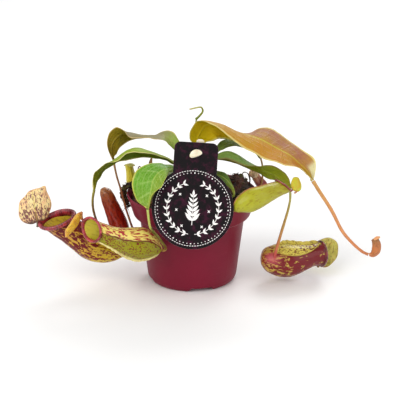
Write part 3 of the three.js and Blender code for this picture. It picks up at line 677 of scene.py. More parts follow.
def dry_finish():
    """side is 1 on the darker curls."""
    paint = Paint("dried")
    streaks = paint.noise(paint.spot((1, 1, 0.2)), 1.4, 5, 0.65)
    color = paint.ramp(streaks, "0.3 #3a2616, 0.5 #805c36, 0.72 #b08e58")
    end = paint.mark("along").rise(0.4, 1.0)
    color = paint.layers(
        color,
        (paint.mark("side") * 0.85, "#2c1e16"),
        (end * 0.25, "#b07c46"))
    return paint.done(color, 0.7 + 0.2 * streaks, paint.bump(streaks, 0.5))


# ---- shapes of the plant -------------------------------------------------------------------

# Each line is a place along the leaf: its near edge, its midrib and its far edge.
LEAVES = {
    "back_left": table("""
        -3.8 0 113 -4.3 2.5 114 -3.9 5 114,
        -16 4 124 -13 4 127 -11 6 131,
        -23 -1 133 -19 6 132 -17 8 140,
        -28 -3 137 -27 8 136 -24 18 139,
        -38 -3 138 -37 9 137 -37 20 133,
        -49 -4 139 -48 9 138 -49 19 131,
        -57 -4 139 -57 9 140 -58 16 130,
        -63 -3 145 -63 8 140 -62 12 129,
        -70 3 147 -69 6 137 -67 6 126,
        -77 4 140 -74 4 130 -70 5 121,
        -78 0 128 -75 2 123 -72 2 119,
        -74 1 117 -73 1 116 -72 1 117"""),
    "left": table("""
        -3.4 -1.4 108 -4.3 1.2 108 -4.5 3.8 109,
        -16 -10 116 -17 -6 117 -17 -4 113,
        -25 -16 124 -25 -9 122 -25 -4 117,
        -38 -23 129 -38 -12 128 -39 -5 120,
        -50 -26 132 -49 -14 132 -50 -10 121,
        -60 -27 130 -59 -15 130 -60 -10 119,
        -69 -26 123 -69 -16 123 -70 -9 116,
        -79 -23 120 -79 -16 116 -79 -11 110,
        -88 -21 112 -86 -16 109 -84 -12 104,
        -91 -19 103 -89 -16 102 -87 -15 100,
        -91 -17 93 -90 -16 93 -89 -16 93"""),
    "front_left": table("""
        -4.6 -2 102 -2 -2.8 101 0.6 -4 100,
        -17 -26 119 -14 -29 117 -12 -32 114,
        -26 -36 124 -22 -43 122 -20 -47.5 120,
        -39 -45 127 -29 -51 121 -23 -59 117.5,
        -49 -55 124 -34 -57 116 -26 -67 114,
        -53 -60 113 -36 -61 108 -32 -70 110,
        -49 -60 98 -38 -64 99 -36 -70 103,
        -40 -66 93 -39 -66 92 -38 -66 93"""),
    "right": table("""
        7.2 1.2 114 7.4 3.6 115 7 6 116,
        4 9 126 8 9 126 12 9 125,
        -2 4 135 5 9 134 13 11 130,
        0 0 146 8 9 141 20 9 132,
        7 -4 156 14 8 148 24 8 134,
        26 -12 149 28 6 148 28 15 132,
        40 -16 138 44 2 142 45 17 130,
        55 -20 130 61 -3 138 65 16 143,
        69 -24 124 76 -7 131 81 11 139,
        84 -26 120 90 -11 124 96 4 129,
        99 -26 116 101 -14 115 111 -12 123,
        105 -24 111 107 -16 109 114 -14 115,
        111 -18 102 111 -17 102 112 -17 102"""),
    "back_right": table("""
        6.4 5.4 109 4.8 6.8 109 3.2 8 110,
        21 7 118 21 10 120 20 13 122,
        27 6 124 28 12 125 27 17 129,
        36 9 126 37 16 128 36 22 130,
        47 14 124 47 20 126 47 26 128,
        56 21 118 58 24 119 58 27 120,
        65 26 110 65 27 110 65 28 110"""),
    "low_right": table("""
        6.6 -2 106 7.2 0 107 7.2 2 108,
        19 -9 119 19 -4 119 19 0 115,
        25 -14 121 26 -6 125 26 -3 117,
        32 -17 122 34 -8 127 34 -4 116,
        40 -21 121 43 -10 124 44 -6 113,
        49 -23 118 52 -11 118 54 -4 108,
        61 -22 118 62 -12 112 62 -3 104,
        74 -18 116 72 -12 108 71 -6 100,
        85 -17 110 81 -13 103 78 -8 98,
        90 -16 101 88 -13 97 85 -10 95,
        92 -13 91 91 -13 91 90 -13 91"""),
    "front_right": table("""
        2.6 -4.4 99 4.4 -3.4 99 6 -2 99,
        13 -29 108 15 -26 110 17 -23 111,
        20 -41 112 22 -36 114 24 -30 115,
        25 -48 112 28 -43 114 31 -38 116,
        31 -51 109 33 -48 111 34 -44 112,
        36 -53 105 37 -52 105 38 -51 105,
        37 -54 101 38 -54 101 39 -54 101"""),
    "newest": table("""
        -0.6 3 119.6 1 4 119.6 2.6 5 119.6,
        0 13 130 2.6 15.5 130 5 18 130,
        2 15 140 4.6 17 140 7 19 140,
        3 15 147 4 15.6 147 5 16.2 147,
        3.4 13.4 151.4 4 13.4 151.4 4.6 13.4 151.4"""),
    "low_back": table("""
        -4.4 1 92 -4.4 3.5 93 -3.8 6 94,
        -15 4 96 -15 10 97 -15 16 98,
        -26 7 97 -26 16 99 -27 25 98,
        -38 13 96 -38 20 97 -38 27 97,
        -47 20 95 -47 23 96 -46 26 95,
        -50.6 23.4 92.4 -50.8 24.2 92.4 -51 25 92.4"""),
}

# A tendril runs from a leaf's tip to a pitcher's tail: its first and last radius, then its points.
TENDRILS = {
    "back_left": ((0.9, 1.1), table("""
        -72.9 0.9 115.4, -70 -3 102, -66 -5 88, -62 -4 70, -58 -2 55, -55.5 0 45, -56.5 3 37,
        -61 4 33.5, -65 4 34.6""")),
    "left": ((1.1, 1.3), table("""
        -90.2 -16 92.3, -92 -14 82, -92 -8 69, -89 2 52, -83 7 39, -74 6 29, -64 -2 24, -58 -12 24,
        -57 -19 26, -61.4 -22 29.4""")),
    "front_left": ((1, 1.3), table("""
        -39 -66.2 91.2, -38.2 -67 83, -37.4 -64.5 75.5, -36.3 -58 69.5, -34.6 -50 64,
        -31.6 -43.6 57.6, -28 -42 51.5, -24.8 -44.5 47.8, -24 -49.5 46.6, -26.2 -53.4 47.1""")),
    "right": ((1.8, 1.3), table("""
        111.6 -17.1 101.2, 118 -19 91, 129 -21 74, 139 -23 55, 149 -24 43, 158 -25 35, 164 -25 31.8""")),
    "back_right": ((0.8, 1), table("""
        65.1 27.1 109.2, 66.8 26 101, 66.6 20.5 91, 65.4 17.8 84.5, 66.4 18 78.6, 70 20 74.8,
        73.4 24 74.4, 72 27.2 76.4""")),
    "low_right": ((1, 1.6), table("""
        91 -13 90.2, 91 -13 81, 89 -13.5 70, 86 -16 60, 82.4 -20 49, 79.4 -24 40, 77.6 -26 33.5,
        77.2 -22.9 28.6""")),
    "front_right": ((0.9, 1.1), table("""
        37.8 -53.8 100.3, 35.6 -49.6 96, 35.6 -49.2 90.4, 35.6 -51.6 85.6, 36.8 -55 86""")),
    "newest": ((1.1, 0.6), table("""
        4.1 12.8 152, 7 9 156, 10 7 161, 9 5 165, 6 3 166, -2 0 165""")),
    "low_back": ((0.8, 1), table("""
        -51.5 25.4 92, -52.8 33.2 92, -56.6 39.6 87, -59.5 40 79, -59.4 36.8 72, -58.8 33.9 72.8""")),
}

# Rows of x y z radius. Each wing's angles run from its foot to its top, in degrees round the cup.
# A mouth faces out, and back points from its middle to the lid. Each of a lid's bumps is where it
# is and how wide, in degrees round the lid, and how far it stands out, as a share of the lid.
PITCHERS = {
    "far_left": dict(
        rows=table("""
            -62.5 -22 30 1.6, -67 -22 31.5 5, -75 -22 33 9.5, -85 -22 35.5 12.5, -96 -22 40 12.8,
            -107 -22 48.5 10.4, -116 -22 57 9.8, -124 -22 64 12"""),
        wing=2.4, wings=((150, 150), (210, 210)), wing_from=0.12, wing_to=0.7, lip=1.3,
        mouth=dict(out=(-0.26, -0.31, 0.92), back=(-0.95, -0.11, -0.3), long=15.5, short=10),
        lid=dict(along=(-0.15, 0.22, 0.95), face=(0.1, -0.95, 0.2), long=16.4, short=15, dome=2.5,
        spur=True, rise=(0.1, 1, 0.8),
        bumps=((51, 8, 0.2), (51, 34, 0.12), (218, 28, 0.18), (129, 30, -0.2), (89, 20, -0.05)))),
    "front_left": dict(
        rows=table("""
            -27.4 -53.6 47.4 1.6, -30 -54 48.6 5.6, -36 -54.5 51.2 11, -45 -55 54 14.6,
            -56 -55 56 13.6, -67 -54 58.4 10.8, -78 -53 62 9.8, -90 -51 66.5 10.5"""),
        wing=1.8, wings=((150, 150), (226, 238, 238, 226, 210)), wing_from=0.06, wing_to=0.99,
        lip=0.8,
        mouth=dict(out=(-0.63, -0.76, 0.17), back=(-0.61, 0.62, 0.49), long=10.8, short=9.6),
        lid=dict(along=(-0.53, -0.12, -0.84), face=(0.66, -0.55, -0.45), long=13.2, short=6.6,
        dome=1.4, rise=(0.8, -1.5, 8), bumps=((240, 50, 0.1), (90, 25, 0.06)))),
    "right": dict(
        rows=table("""
            38 -56.8 87 1.4, 40.6 -57.4 89.2 4.4, 45 -57.2 92.6 8.2, 52 -55 95.5 10.2,
            62 -51 98.6 9.6, 72 -45 101.4 8.2, 82.7 -37 102.9 8"""),
        wing=0.8, wings=((150, 150), (210, 210)), wing_from=0.08, wing_to=0.99, lip=0.55,
        mouth=dict(out=(0.6, 0.36, 0.72), back=(0.8, -0.2, -0.57), long=8.2, short=7.4),
        lid=dict(along=(0.05, 0.55, 0.83), face=(0.5, -0.86, 0.25), long=7.2, short=5.8, dome=1.2,
        rise=(1.4, -0.2, -0.8))),
    "low_right": dict(
        rows=table("""
            64.6 -10 22.5 2, 66 -10 22.4 7, 70 -10 22 11, 78 -10 20.8 14.6, 88 -9.5 20 16.2,
            98 -9 21 15.2, 107 -8 22.4 12.6, 114 -6 23.5 11, 121 -4 24 11.5"""),
        wing=2.6, wings=((158, 155, 152, 148, 142), (200, 210, 215, 200, 170)), wing_from=0.33,
        wing_to=1.02, lip=0.85,
        mouth=dict(out=(0.9, 0.41, -0.04), back=(0.03, 0.36, -0.93), long=11.2, short=10.2),
        lid=dict(along=(0.42, 0.64, 0.66), face=(-0.1, -0.68, 0.72), long=16.2, short=12.6,
        dome=0.8, rise=(0, 0, -2))),
}

# Shut pitchers: their rows, and a lid for those whose lid has parted.
YOUNG = {
    "dark": dict(rows=table("""
        -66 4 35 1.5, -67.5 4 38 6.5, -68.5 4 46 9.3, -71.5 4 57 8.6, -75.5 4 68 7.6,
        -79.5 4 78.5 6.6, -82 4 84.6 5, -82.8 4 87.4 1.8""")),
    "back_left": dict(rows=table("""
        -58.6 33.4 73.8 1, -58 33 78.2 4.4, -58.2 33 85.2 5, -59.4 33 93.2 3.9, -60.3 33 98.6 3.6,
        -60.4 33 100.6 4"""),
        lid=dict(hinge=(-65, 33, 100), along=(1, 0, 0.04), face=(-0.04, 0, 1), long=4.5, short=4.2,
        dome=1.6)),
    "back_right": dict(rows=table("""
        70.8 26.4 78 1.2, 69 26 80.4 4, 66 25.5 84 5, 62.6 24.6 88.5 4.4, 60 24 93.2 4"""),
        lid=dict(hinge=(57.6, 19.5, 90), along=(0.1, 0.05, 1), face=(-0.2, -0.95, 0.1), long=4.4,
        short=4.6, dome=0.6)),
    "bud": dict(rows=table("""
        165 -25 31.5 1.5, 168.4 -25 32.2 2.8, 171.2 -25 36 4.2, 171.6 -25 41 4.2, 170.6 -25 45 3.6,
        170.3 -25 46.8 3.2"""),
        lid=dict(hinge=(166.6, -25, 45.7), along=(0.9, 0, 0.44), face=(-0.44, 0, 0.9), long=3.6,
        short=3.2, dome=1.4)),
}

# Moss and dried scraps, as rows of x y z radius.
BITS = {
    "moss_left": table("""
        -43 9 83.6 3, -49 8.6 85 4, -55 7 88.2 3.2, -60.5 4.6 88.8 2.3, -64 3 86 1.9,
        -63.6 2 81 1.8, -61.8 1.4 75 1.8, -59.6 1 69 1.2"""),
    "moss_right": table("""
        31 -27 84.5 3.3, 39 -17 86.5 5.5, 45 -4 88 7.1, 45.5 10 88.8 7.3, 41 22 87.5 6.6,
        34 31 84.4 3.4"""),
    "dried_leaf": table("""
        -24 6 83.2 1.5, -30 5 91 2.4, -35 3 101 3, -38 2 110 2.8, -37.4 2 117 1"""),
    "dried_curl_left": table("""
        -40 30 81 1, -45.4 29.5 88 1.1, -49.6 28 94 1.2, -51.2 26 99 1.2, -50 24 102 1.1,
        -48.2 22.6 100.8 0.8"""),
    "dried_curl_right": table("""
        52 19 79.1 1, 54.6 17 88 1.2, 54 14.6 95 1.3, 51.6 12.8 99.4 1.3, 48.6 12 100 1.1,
        47.4 12 98.4 0.8"""),
}

# Thin roots over the pot's rim: where each starts, which way it sets off, and its length.
HANGING_ROOTS = (
    ((-64, 2.6, 85), (-1, -0.1, -0.3), 6),
    ((-61.6, 1.4, 73), (0.1, -0.3, -1), 17),
    ((-60.4, 1, 70), (-0.1, -0.2, -1), 14),
    ((-63, 2, 79), (-0.5, -0.3, -1), 9),
    ((-55, 7, 91), (0.5, 0.1, 1), 10),
    ((-58, 6, 90), (0.1, -0.1, 1), 6),
)


# ---- leaves --------------------------------------------------------------------------------


LEAF_STEPS, LEAF_POINTS = 12, 33


def leaf_grid(rows, t, s):
    """Points of a blade. s runs from -1 at the near edge over the midrib to 1 at the far edge."""
    row = spline(rows, t)
    near, rib, far = (row[:, None, 3 * k:3 * k + 3] for k in range(3))
    s = s[None, :, None]
    return near * s * (s - 1) / 2 + rib * (1 - s * s) + far * s * (s + 1) / 2


def make_leaf(name, rows, material, slot, sizes, seed):
    """One leaf blade with its stalk: a thin sheet with a keeled midrib and a wavy margin."""
    t = np.linspace(0, 1, LEAF_STEPS * (len(rows) - 1) + 1)
    even = np.linspace(-1, 1, LEAF_POINTS)
    s = np.sign(even) * np.abs(even) ** 1.25
    points = leaf_grid(rows, t, s)
    rib = spline(rows, t)[:, 3:6]
    run = travel(rib)[:, None] * np.ones_like(points[..., 0])
    normal = unit(np.cross(np.gradient(points, axis=0), np.gradient(points, axis=1)))
    middle = slice(len(t) // 4, 3 * len(t) // 4)
    if normal[middle, :, 2].mean() < 0:
        normal = -normal
    edges = np.linalg.norm(points[:, [0, -1]] - rib[:, None], axis=2)
    half = edges.mean(axis=1)[:, None]
    out = np.abs(s)[None]
    apart = np.where(s[None] < 0, edges[:, :1], edges[:, 1:]) * out
    broad = smooth(2.5, 7, half)
    ripple = np.sin(run / 3.4 + seed * 2 + 1.7 * np.sign(s)[None]) + wobble(points, 7, seed)
    lift = sizes.leaf_wave / MM * ripple * out**3 * broad
    lift = lift + 0.35 * wobble(points, 13, seed + 3) * broad
    lift = lift + 0.06 * np.sin(0.9 * run - 0.55 * apart + seed) * broad * smooth(0.05, 0.3, out)
    stalk = 1 - smooth(1.5, 4, half)
    thick = 0.36 * (1 - 0.6 * out**4) + stalk * np.maximum(1.1 - 0.8 * out**2, 0)
    keel = np.maximum(1 - run / run.max() * 0.6, 0.3)
    top = points + normal * (lift + thick - 0.4 * keel * bump_at(0, 0.7, apart) * (1 - stalk))[..., None]
    low = points + normal * (lift - thick - 1.15 * keel * bump_at(0, 0.9, apart))[..., None]
    place = points_of(s[None] * half, 0, run)
    build = Build()
    marks = {"along": t[:, None], "across": s[None], "lean": run, "place": place}
    build.sheet(build.add(top, side=0, **marks), build.add(low, side=1, **marks))
    build.piece("leaf_" + name + "_blade", material, slot, "leaf_" + name)


# ---- tendrils ------------------------------------------------------------------------------


TENDRIL_STEPS, TENDRIL_SIDES = 10, 18


def make_tendril(name, ends, points, material, seed):
    """A smooth, slightly knobbly round stalk from a leaf's tip to the tail of its pitcher."""
    rows = np.column_stack([points, np.linspace(*ends, len(points))])
    steps = TENDRIL_STEPS * (len(rows) - 1)
    build = Build()
    joints = spline(rows, np.linspace(0, 1, steps + 1))
    knobs = 0.12 * wobble(joints[:, :3], 5, seed)[:, None]

    def swell(t, angle):
        flare = 0.25 * np.exp(-t * 22) + 0.2 * np.exp((t - 1) * 22)
        return knobs + flare + 0.05 * np.sin(3 * angle + 9 * t)

    round_body(build, rows, steps, TENDRIL_SIDES, swell)
    build.piece("tendril_" + name + "_stalk", material, "tendril", "tendril_" + name)


# ---- open pitchers -------------------------------------------------------------------------

CUP_WALL, CUP_FLOOR = 0.9, 0.34
CUP_SIDES, CUP_RINGS, HOLLOW_RINGS = 96, 97, 40
WING_STEPS, WING_POINTS = 220, 9
COLLAR_SIDES, COLLAR_POINTS = 360, 26
# The collar's section: how far each point stands out from the mouth, and forward of it.
LIP_SECTION = ((-1.2, -1.8), (-1.05, -0.4), (-0.75, 1.2), (0.0, 2.5), (0.9, 3.0), (1.8, 2.5),
               (2.3, 1.5), (2.2, 0.6), (1.5, 0.1), (0.4, 0.3), (-0.5, -1.0))


class Cup:
    """The hollow shape of one open pitcher: rings round its curved middle line that turn, towards
    the top, to the plane of the mouth. Angle 0 is on the lid's side, pi between the wings."""

    def __init__(self, pitcher):
        self.rows = pitcher["rows"]
        self.mouth = pitcher["mouth"]
        self.out = unit(self.mouth["out"])
        self.wings = [np.radians(angles)[:, None] for angles in pitcher["wings"]]
        self.wing_from = pitcher["wing_from"]

    def hinge(self):
        """Where the lid's neck starts, just behind the collar."""
        back, _ = cross_axes(self.out, self.mouth["back"])
        return self.rows[-1, :3] + back * (self.mouth["long"] + 3.8) + self.out * 1.5

    def axes(self, t):
        turn = smooth(0.55, 1, t)[:, None]
        facing = unit(direction_along(self.rows, t) * (1 - turn) + self.out * turn)
        back, side = cross_axes(facing, self.mouth["back"])
        return facing, back, side, turn

    def ring(self, t, angle, grow=0.0, forward=0.0):
        """Points round the cup. grow and forward may be numbers or arrays over t and angle."""
        t = np.atleast_1d(t)
        facing, back, side, turn = self.axes(t)
        row = spline(self.rows, t)
        long = row[:, 3:4] * (1 - turn) + self.mouth["long"] * turn + grow
        short = row[:, 3:4] * (1 - turn) + self.mouth["short"] * turn + grow
        shape = np.broadcast_shapes(long.shape, angle.shape)
        forward = np.broadcast_to(np.asarray(forward, float), shape)
        return (row[:, None, :3] + facing[:, None] * forward[..., None]
                + back[:, None] * (long * np.cos(angle))[..., None]
                + side[:, None] * (short * np.sin(angle))[..., None])

    def wing_angles(self, t):
        """Where round the cup its two wings stand, for every t."""
        t = (np.atleast_1d(t) - self.wing_from) / (1 - self.wing_from)
        return [spline(angles, t) for angles in self.wings]

    def marks(self, t, angle):
        """The numbers the finish reads, at every t and angle. across is 1 at the wings' feet,
        0 midway between them and 2 on the lid's side. lean's sign tells the two sides apart."""
        t = np.atleast_1d(t)
        angle = np.broadcast_to(angle, (len(t), np.shape(angle)[-1]))
        radius = spline(self.rows, t)[:, 3:4]
        run = travel(spline(self.rows, np.linspace(0, 1, 200))[:, :3])
        run = np.interp(t, np.linspace(0, 1, 200), run)[:, None] * np.ones_like(angle)
        low, high = self.wing_angles(t)
        middle, half = (low + high) / 2, (high - low) / 2
        gap = (angle - middle + np.pi) % (2 * np.pi) - np.pi
        away = np.abs(gap)
        across = np.where(away < half, away / half, 1 + (away - half) / (np.pi - half))
        place = points_of(radius * np.cos(angle), radius * np.sin(angle), run)
        return {"along": t[:, None], "across": across, "lean": np.sin(gap), "place": place}


def make_cup(name, pitcher, looks, slot, sizes, seed):
    """A hollow pitcher with its wings, and the ribbed collar round its mouth."""
    cup = Cup(pitcher)
    start, stop = pitcher["wing_from"], pitcher["wing_to"]
    angle = circle(CUP_SIDES)
    build = Build()
    up = np.linspace(0, 1, CUP_RINGS)
    down = np.linspace(1, CUP_FLOOR, HOLLOW_RINGS)
    skin = cup.ring(up, angle)
    ripple = 0.35 * wobble(skin, 9, seed) + 0.14 * wobble(skin, 3.2, seed + 5)
    veins = 0.1 * np.sin(14 * angle + 1.5 * wobble(skin, 20, seed))
    fade = smooth(0, 0.08, up)[:, None] * smooth(1, 0.93, up)[:, None]
    skin = cup.ring(up, angle, (ripple + veins) * fade)
    hollow = cup.ring(down, angle, -CUP_WALL)
    outside = build.add(skin, side=0, **cup.marks(up, angle))
    inside = build.add(hollow, side=1, **cup.marks(down, angle))
    build.solid_grid(np.concatenate([outside, inside]))

    t = np.linspace(start, min(stop, 0.99), WING_STEPS)
    rise = np.linspace(0, 1, WING_POINTS)
    run = t * travel(spline(cup.rows, up)[:, :3])[-1]
    facing, back, side, _ = cup.axes(t)
    full = pitcher["wing"] * sizes.wing_scale
    full = full * smooth(start, start + 0.12, t) * smooth(stop, stop - 0.12, t)
    for place, wing in enumerate(cup.wing_angles(t)):
        foot = cup.ring(t, wing, -0.6)[:, 0]
        away = back * np.cos(wing) + side * np.sin(wing)
        beside = np.cross(facing, away)
        frill = 0.07 * np.sin(run * 1.3 + place * 2 + seed) + 0.03 * np.sin(run * 3.7 + seed)
        height = full * (1 + frill) + 0.55
        wave = (0.6 * np.sin(run * 0.42 + place + seed) + 0.2 * np.sin(run * 1.4))[:, None] * rise**2
        thick = (0.42 - 0.3 * rise)[None] * smooth(start - 0.01, start + 0.05, t)[:, None]
        reach = away[:, None] * (height[:, None] * rise)[..., None]
        mid = foot[:, None] + reach + beside[:, None] * (wave * smooth(0, 3, height)[:, None])[..., None]
        marks = cup.marks(t, wing * np.ones(WING_POINTS))
        marks["place"] = marks["place"] + reach
        build.sheet(*(build.add(mid + beside[:, None] * (way * thick)[..., None], side=2, **marks)
                      for way in (1, -1)))
    build.piece("pitcher_" + name + "_cup", looks[0], slot, "pitcher_" + name)

    collar = Build()
    around = circle(COLLAR_SIDES)
    section = np.array(LIP_SECTION) * pitcher["lip"] * sizes.lip_scale
    section = spline(np.concatenate([section, section[:1]]), np.linspace(0, 1, COLLAR_POINTS + 1))[:-1]
    ridge = 0.09 * np.sin(sizes.lip_ribs * around)[:, None] * bump_at(1.2, 1.6, section[:, 0])[None]
    sway = 0.35 * np.sin(2 * around + seed) + 0.25 * np.sin(5 * around + 2 * seed)
    peak = 1.6 * np.exp(-((np.abs((around + np.pi) % (2 * np.pi) - np.pi) / 0.4) ** 2))
    grow = section[:, :1] + ridge.T
    forward = section[:, 1:] + sway * 0.5 + peak * (section[:, 1:] > -1)
    rings = np.stack([cup.ring(1.0, around, g, f)[0] for g, f in zip(grow, forward)], axis=1)
    marks = cup.marks(1.0, around)
    spots = points_of(np.cos(around) * 40, np.sin(around) * 40, 0)[:, None]
    spots = spots + points_of(section[:, 0], section[:, 1], 0)[None]
    index = collar.add(rings, 1.0, marks["across"].T / 2, np.linspace(0, 1, len(section))[None],
                       np.sin(around)[:, None], spots)
    collar.quads(np.concatenate([index, index[:1]]), wrap=True)
    collar.piece("pitcher_" + name + "_collar", looks[1], slot, "pitcher_" + name)


# ---- lids ----------------------------------------------------------------------------------


LID_SIDES, LID_RINGS = 120, 22


def make_lid(name, lid, material, slot, seed):
    """A domed lid on its short neck, with a keel underneath and a soft notch where they meet."""
    hinge = np.array(lid["hinge"], float)
    up = unit(lid["along"])
    face, side = cross_axes(up, lid["face"])
    foot = hinge + lid.get("rise", (0, 0, 0)) + up * 1.6
    build = Build()
    angle = circle(LID_SIDES)
    r = np.linspace(0.02, 1, LID_RINGS)[:, None]
    outline = 1 + 0.02 * np.sin(3 * angle + seed) + 0.015 * np.sin(7 * angle + 2 * seed)
    outline = outline - 0.09 * bump_at(1.5 * np.pi, 0.3, angle)
    for turn, width, amount in lid.get("bumps", ()):
        gap = (angle - math.radians(turn) + np.pi) % (2 * np.pi) - np.pi
        outline = outline + amount * bump_at(0, math.radians(width), gap)
    x = lid["short"] * r * outline * np.cos(angle)
    y = lid["long"] * (1 + r * outline * np.sin(angle))
    size = min(lid["long"] / 12, 1)
    z = lid["dome"] * (1 - r**2) + size * (0.5 * r**4 * np.sin(4 * angle + seed) - 0.8 * r**8)
    z = z + 0.25 * size * wobble(points_of(x, y, 0), 5, seed)
    keel = size * 1.3 * bump_at(0, 1.1 * size, x) * smooth(2.1, 0.3, y / lid["long"])
    furrow = size * 0.35 * bump_at(0, 0.8 * size, x) * smooth(2, 0.2, y / lid["long"])
    thick = size * (0.5 - 0.25 * r**4) * np.ones_like(angle)
    base = foot + x[..., None] * side + y[..., None] * up

    def skin(height, under):
        points = base + height[..., None] * face
        spots = points_of(x, y, height)
        return build.add(points, y / (2 * lid["long"]), x / lid["short"], under, r, spots)

    top, low = skin(z + thick - furrow, 0), skin(z - thick - keel, 1)
    build.quads(top, wrap=True)
    build.quads(low, wrap=True)
    build.fan(top[0])
    build.fan(low[0])
    build.quads(np.stack([top[-1], low[-1]]), wrap=True)
    neck = np.array([hinge - up * 0.6 * size, hinge, (hinge + foot) / 2, foot, foot + up * 3 * size])
    radius = np.array([0.9, 1.3, 1.0, 1.15, 0.3]) * max(size, 0.4)
    round_body(build, np.column_stack([neck, radius]), 24, 20, side=2.0)
    if lid.get("spur"):
        tail = np.array([hinge, hinge - face * 1.6 - up * 0.4, hinge - face * 3.2 + up * 1.4])
        round_body(build, np.column_stack([tail, np.array([0.7, 0.45, 0.12]) * max(size, 0.7)]), 12, 12)
    build.piece(name + "_leaf", material, slot, name)


# ---- young pitchers ------------------------------------------------------------------------


POD_STEPS, POD_SIDES, POD_SEAM = 14, 64, 0.86


def make_pod(name, rows, material, slot, seed):
    """A young pitcher that is still shut, with two low ridges down its front and a seam at the top."""
    build = Build()
    steps = POD_STEPS * (len(rows) - 1)
    widest = rows[:, 3].max()
    line = spline(rows, np.linspace(0, 1, steps + 1))
    angle = circle(POD_SIDES)
    ring = points_of(np.cos(angle), np.sin(angle), 0)
    cloud = wobble(line[:, None, :3] + 3 * ring, 5, seed)

    def swell(t, around):
        grown = smooth(0.02, 0.2, t) * smooth(1.0, 0.9, t)
        ridges = bump_at(2.5, 0.1, around) + bump_at(3.8, 0.1, around)
        seam = bump_at(POD_SEAM, 0.012, t)
        return widest * (0.1 * ridges * grown + 0.035 * cloud * grown - 0.05 * seam)

    round_body(build, rows, steps, POD_SIDES, swell)
    build.piece("pitcher_" + name + "_pod", material, slot, "pitcher_" + name)


# ---- pot -----------------------------------------------------------------------------------

RIM_RADIUS, POT_HEIGHT = 61.2, 85.4
BAND_BOTTOM, BAND_RADIUS = 64, 54.5
BASE_RADIUS, BODY_TOP_RADIUS = 41.5, 49.5
FOOT_HEIGHT, WALL = 4, 1.6
NOTCH_ANGLES = [math.radians(-77.5 + 90 * k) for k in range(4)]
NOTCH_WIDTH = 22
DRAIN_CIRCLE, DRAIN_RADIUS, DRAIN_DEPTH = 24, 4, 12
CORNER_STEPS, LONGEST_STEP = 4, 3
POT_SIDES, SEAM_ANGLE = 288, math.radians(-43)


def body_radius(z):
    return BASE_RADIUS + (BODY_TOP_RADIUS - BASE_RADIUS) * z / BAND_BOTTOM


def band_radius(z):
    return BAND_RADIUS + (RIM_RADIUS - BAND_RADIUS) * (z - BAND_BOTTOM) / (POT_HEIGHT - BAND_BOTTOM)


def soften(profile, cut):
    """Rounds the corners of a line of (radius, height) points, and adds points along long runs."""
    profile = np.array(profile, float)
    made = [profile[0]]
    for before, here, after in zip(profile, profile[1:], profile[2:]):
        a, b = before - here, after - here
        la, lb = np.linalg.norm(a), np.linalg.norm(b)
        start, end = here + a / la * min(cut, la * 0.45), here + b / lb * min(cut, lb * 0.45)
        for f in np.linspace(0, 1, CORNER_STEPS):
            made.append((1 - f) ** 2 * start + 2 * f * (1 - f) * here + f * f * end)
    made.append(profile[-1])
    full = [made[0]]
    for point in made[1:]:
        extra = int(np.linalg.norm(point - full[-1]) // LONGEST_STEP)
        full.extend(full[-1] + (point - full[-1]) * k / (extra + 1) for k in range(1, extra + 1))
        full.append(point)
    return np.array(full)


def lathe(profile, segments):
    """Turns a line of (radius, height) points about the Z axis into a closed body."""
    angle = circle(segments)
    radius, height = profile[:, :1], profile[:, 1:]
    return points_of(radius * np.cos(angle), radius * np.sin(angle), height), angle


def make_pot(material):
    inner = [(band_radius(84.4) - WALL, 84.4), (BAND_RADIUS - WALL, 66.5), (body_radius(64) - WALL, 64),
             (body_radius(10) - WALL, 10), (BASE_RADIUS - WALL - 3, FOOT_HEIGHT + WALL),
             (0.4, FOOT_HEIGHT + WALL)]
    outer = [(0.4, 0), (10, 0), (11, FOOT_HEIGHT), (33, FOOT_HEIGHT), (34, 0), (38.5, 0), (40.6, 1.6),
             (body_radius(5), 5), (body_radius(40), 40), (body_radius(62.5), 62.5), (53.7, BAND_BOTTOM),
             (band_radius(65.5), 65.5), (band_radius(75), 75), (band_radius(82.2), 82.2),
             (band_radius(82.8) + 0.35, 83), (band_radius(84.4), 84.4), (60.6, POT_HEIGHT),
             (59.9, POT_HEIGHT)]
    profile = soften(outer + inner, 0.55)
    build = Build()
    points, angle = lathe(profile, POT_SIDES)
    x, y, z = points[..., 0], points[..., 1], points[..., 2]
    outer_part = np.arange(len(profile)) < len(profile) * 0.7
    reach = np.hypot(x, y)
    for notch in NOTCH_ANGLES:
        sideways = np.abs(-x * math.sin(notch) + y * math.cos(notch))
        ahead = x * math.cos(notch) + y * math.sin(notch) > 0
        depth = np.clip((NOTCH_WIDTH / 2 + 1.5 - sideways) / 3, 0, 1) * ahead * (reach > 32.4)
        lifted = np.maximum(z, (FOOT_HEIGHT - 0.4) * depth)
        z[:] = np.where((z < FOOT_HEIGHT - 0.4) & (reach < 42), lifted, z)
    seam = bump_at(0, 0.4, ((angle - SEAM_ANGLE) % (2 * np.pi)) * reach)
    outside = (reach > 40.5) & (z > 4) & outer_part[:, None]
    push = 0.16 * seam * outside + 0.1 * wobble(points, 30, 2) * outside
    x += push * np.cos(angle)
    y += push * np.sin(angle)
    soiled = (~outer_part)[:, None] * np.ones_like(z)
    build.solid_grid(build.add(points, z / POT_HEIGHT, 0, soiled))
    drill_drains(build.piece("pot_shell", material, "pot_plastic", "pot", sharp=38))


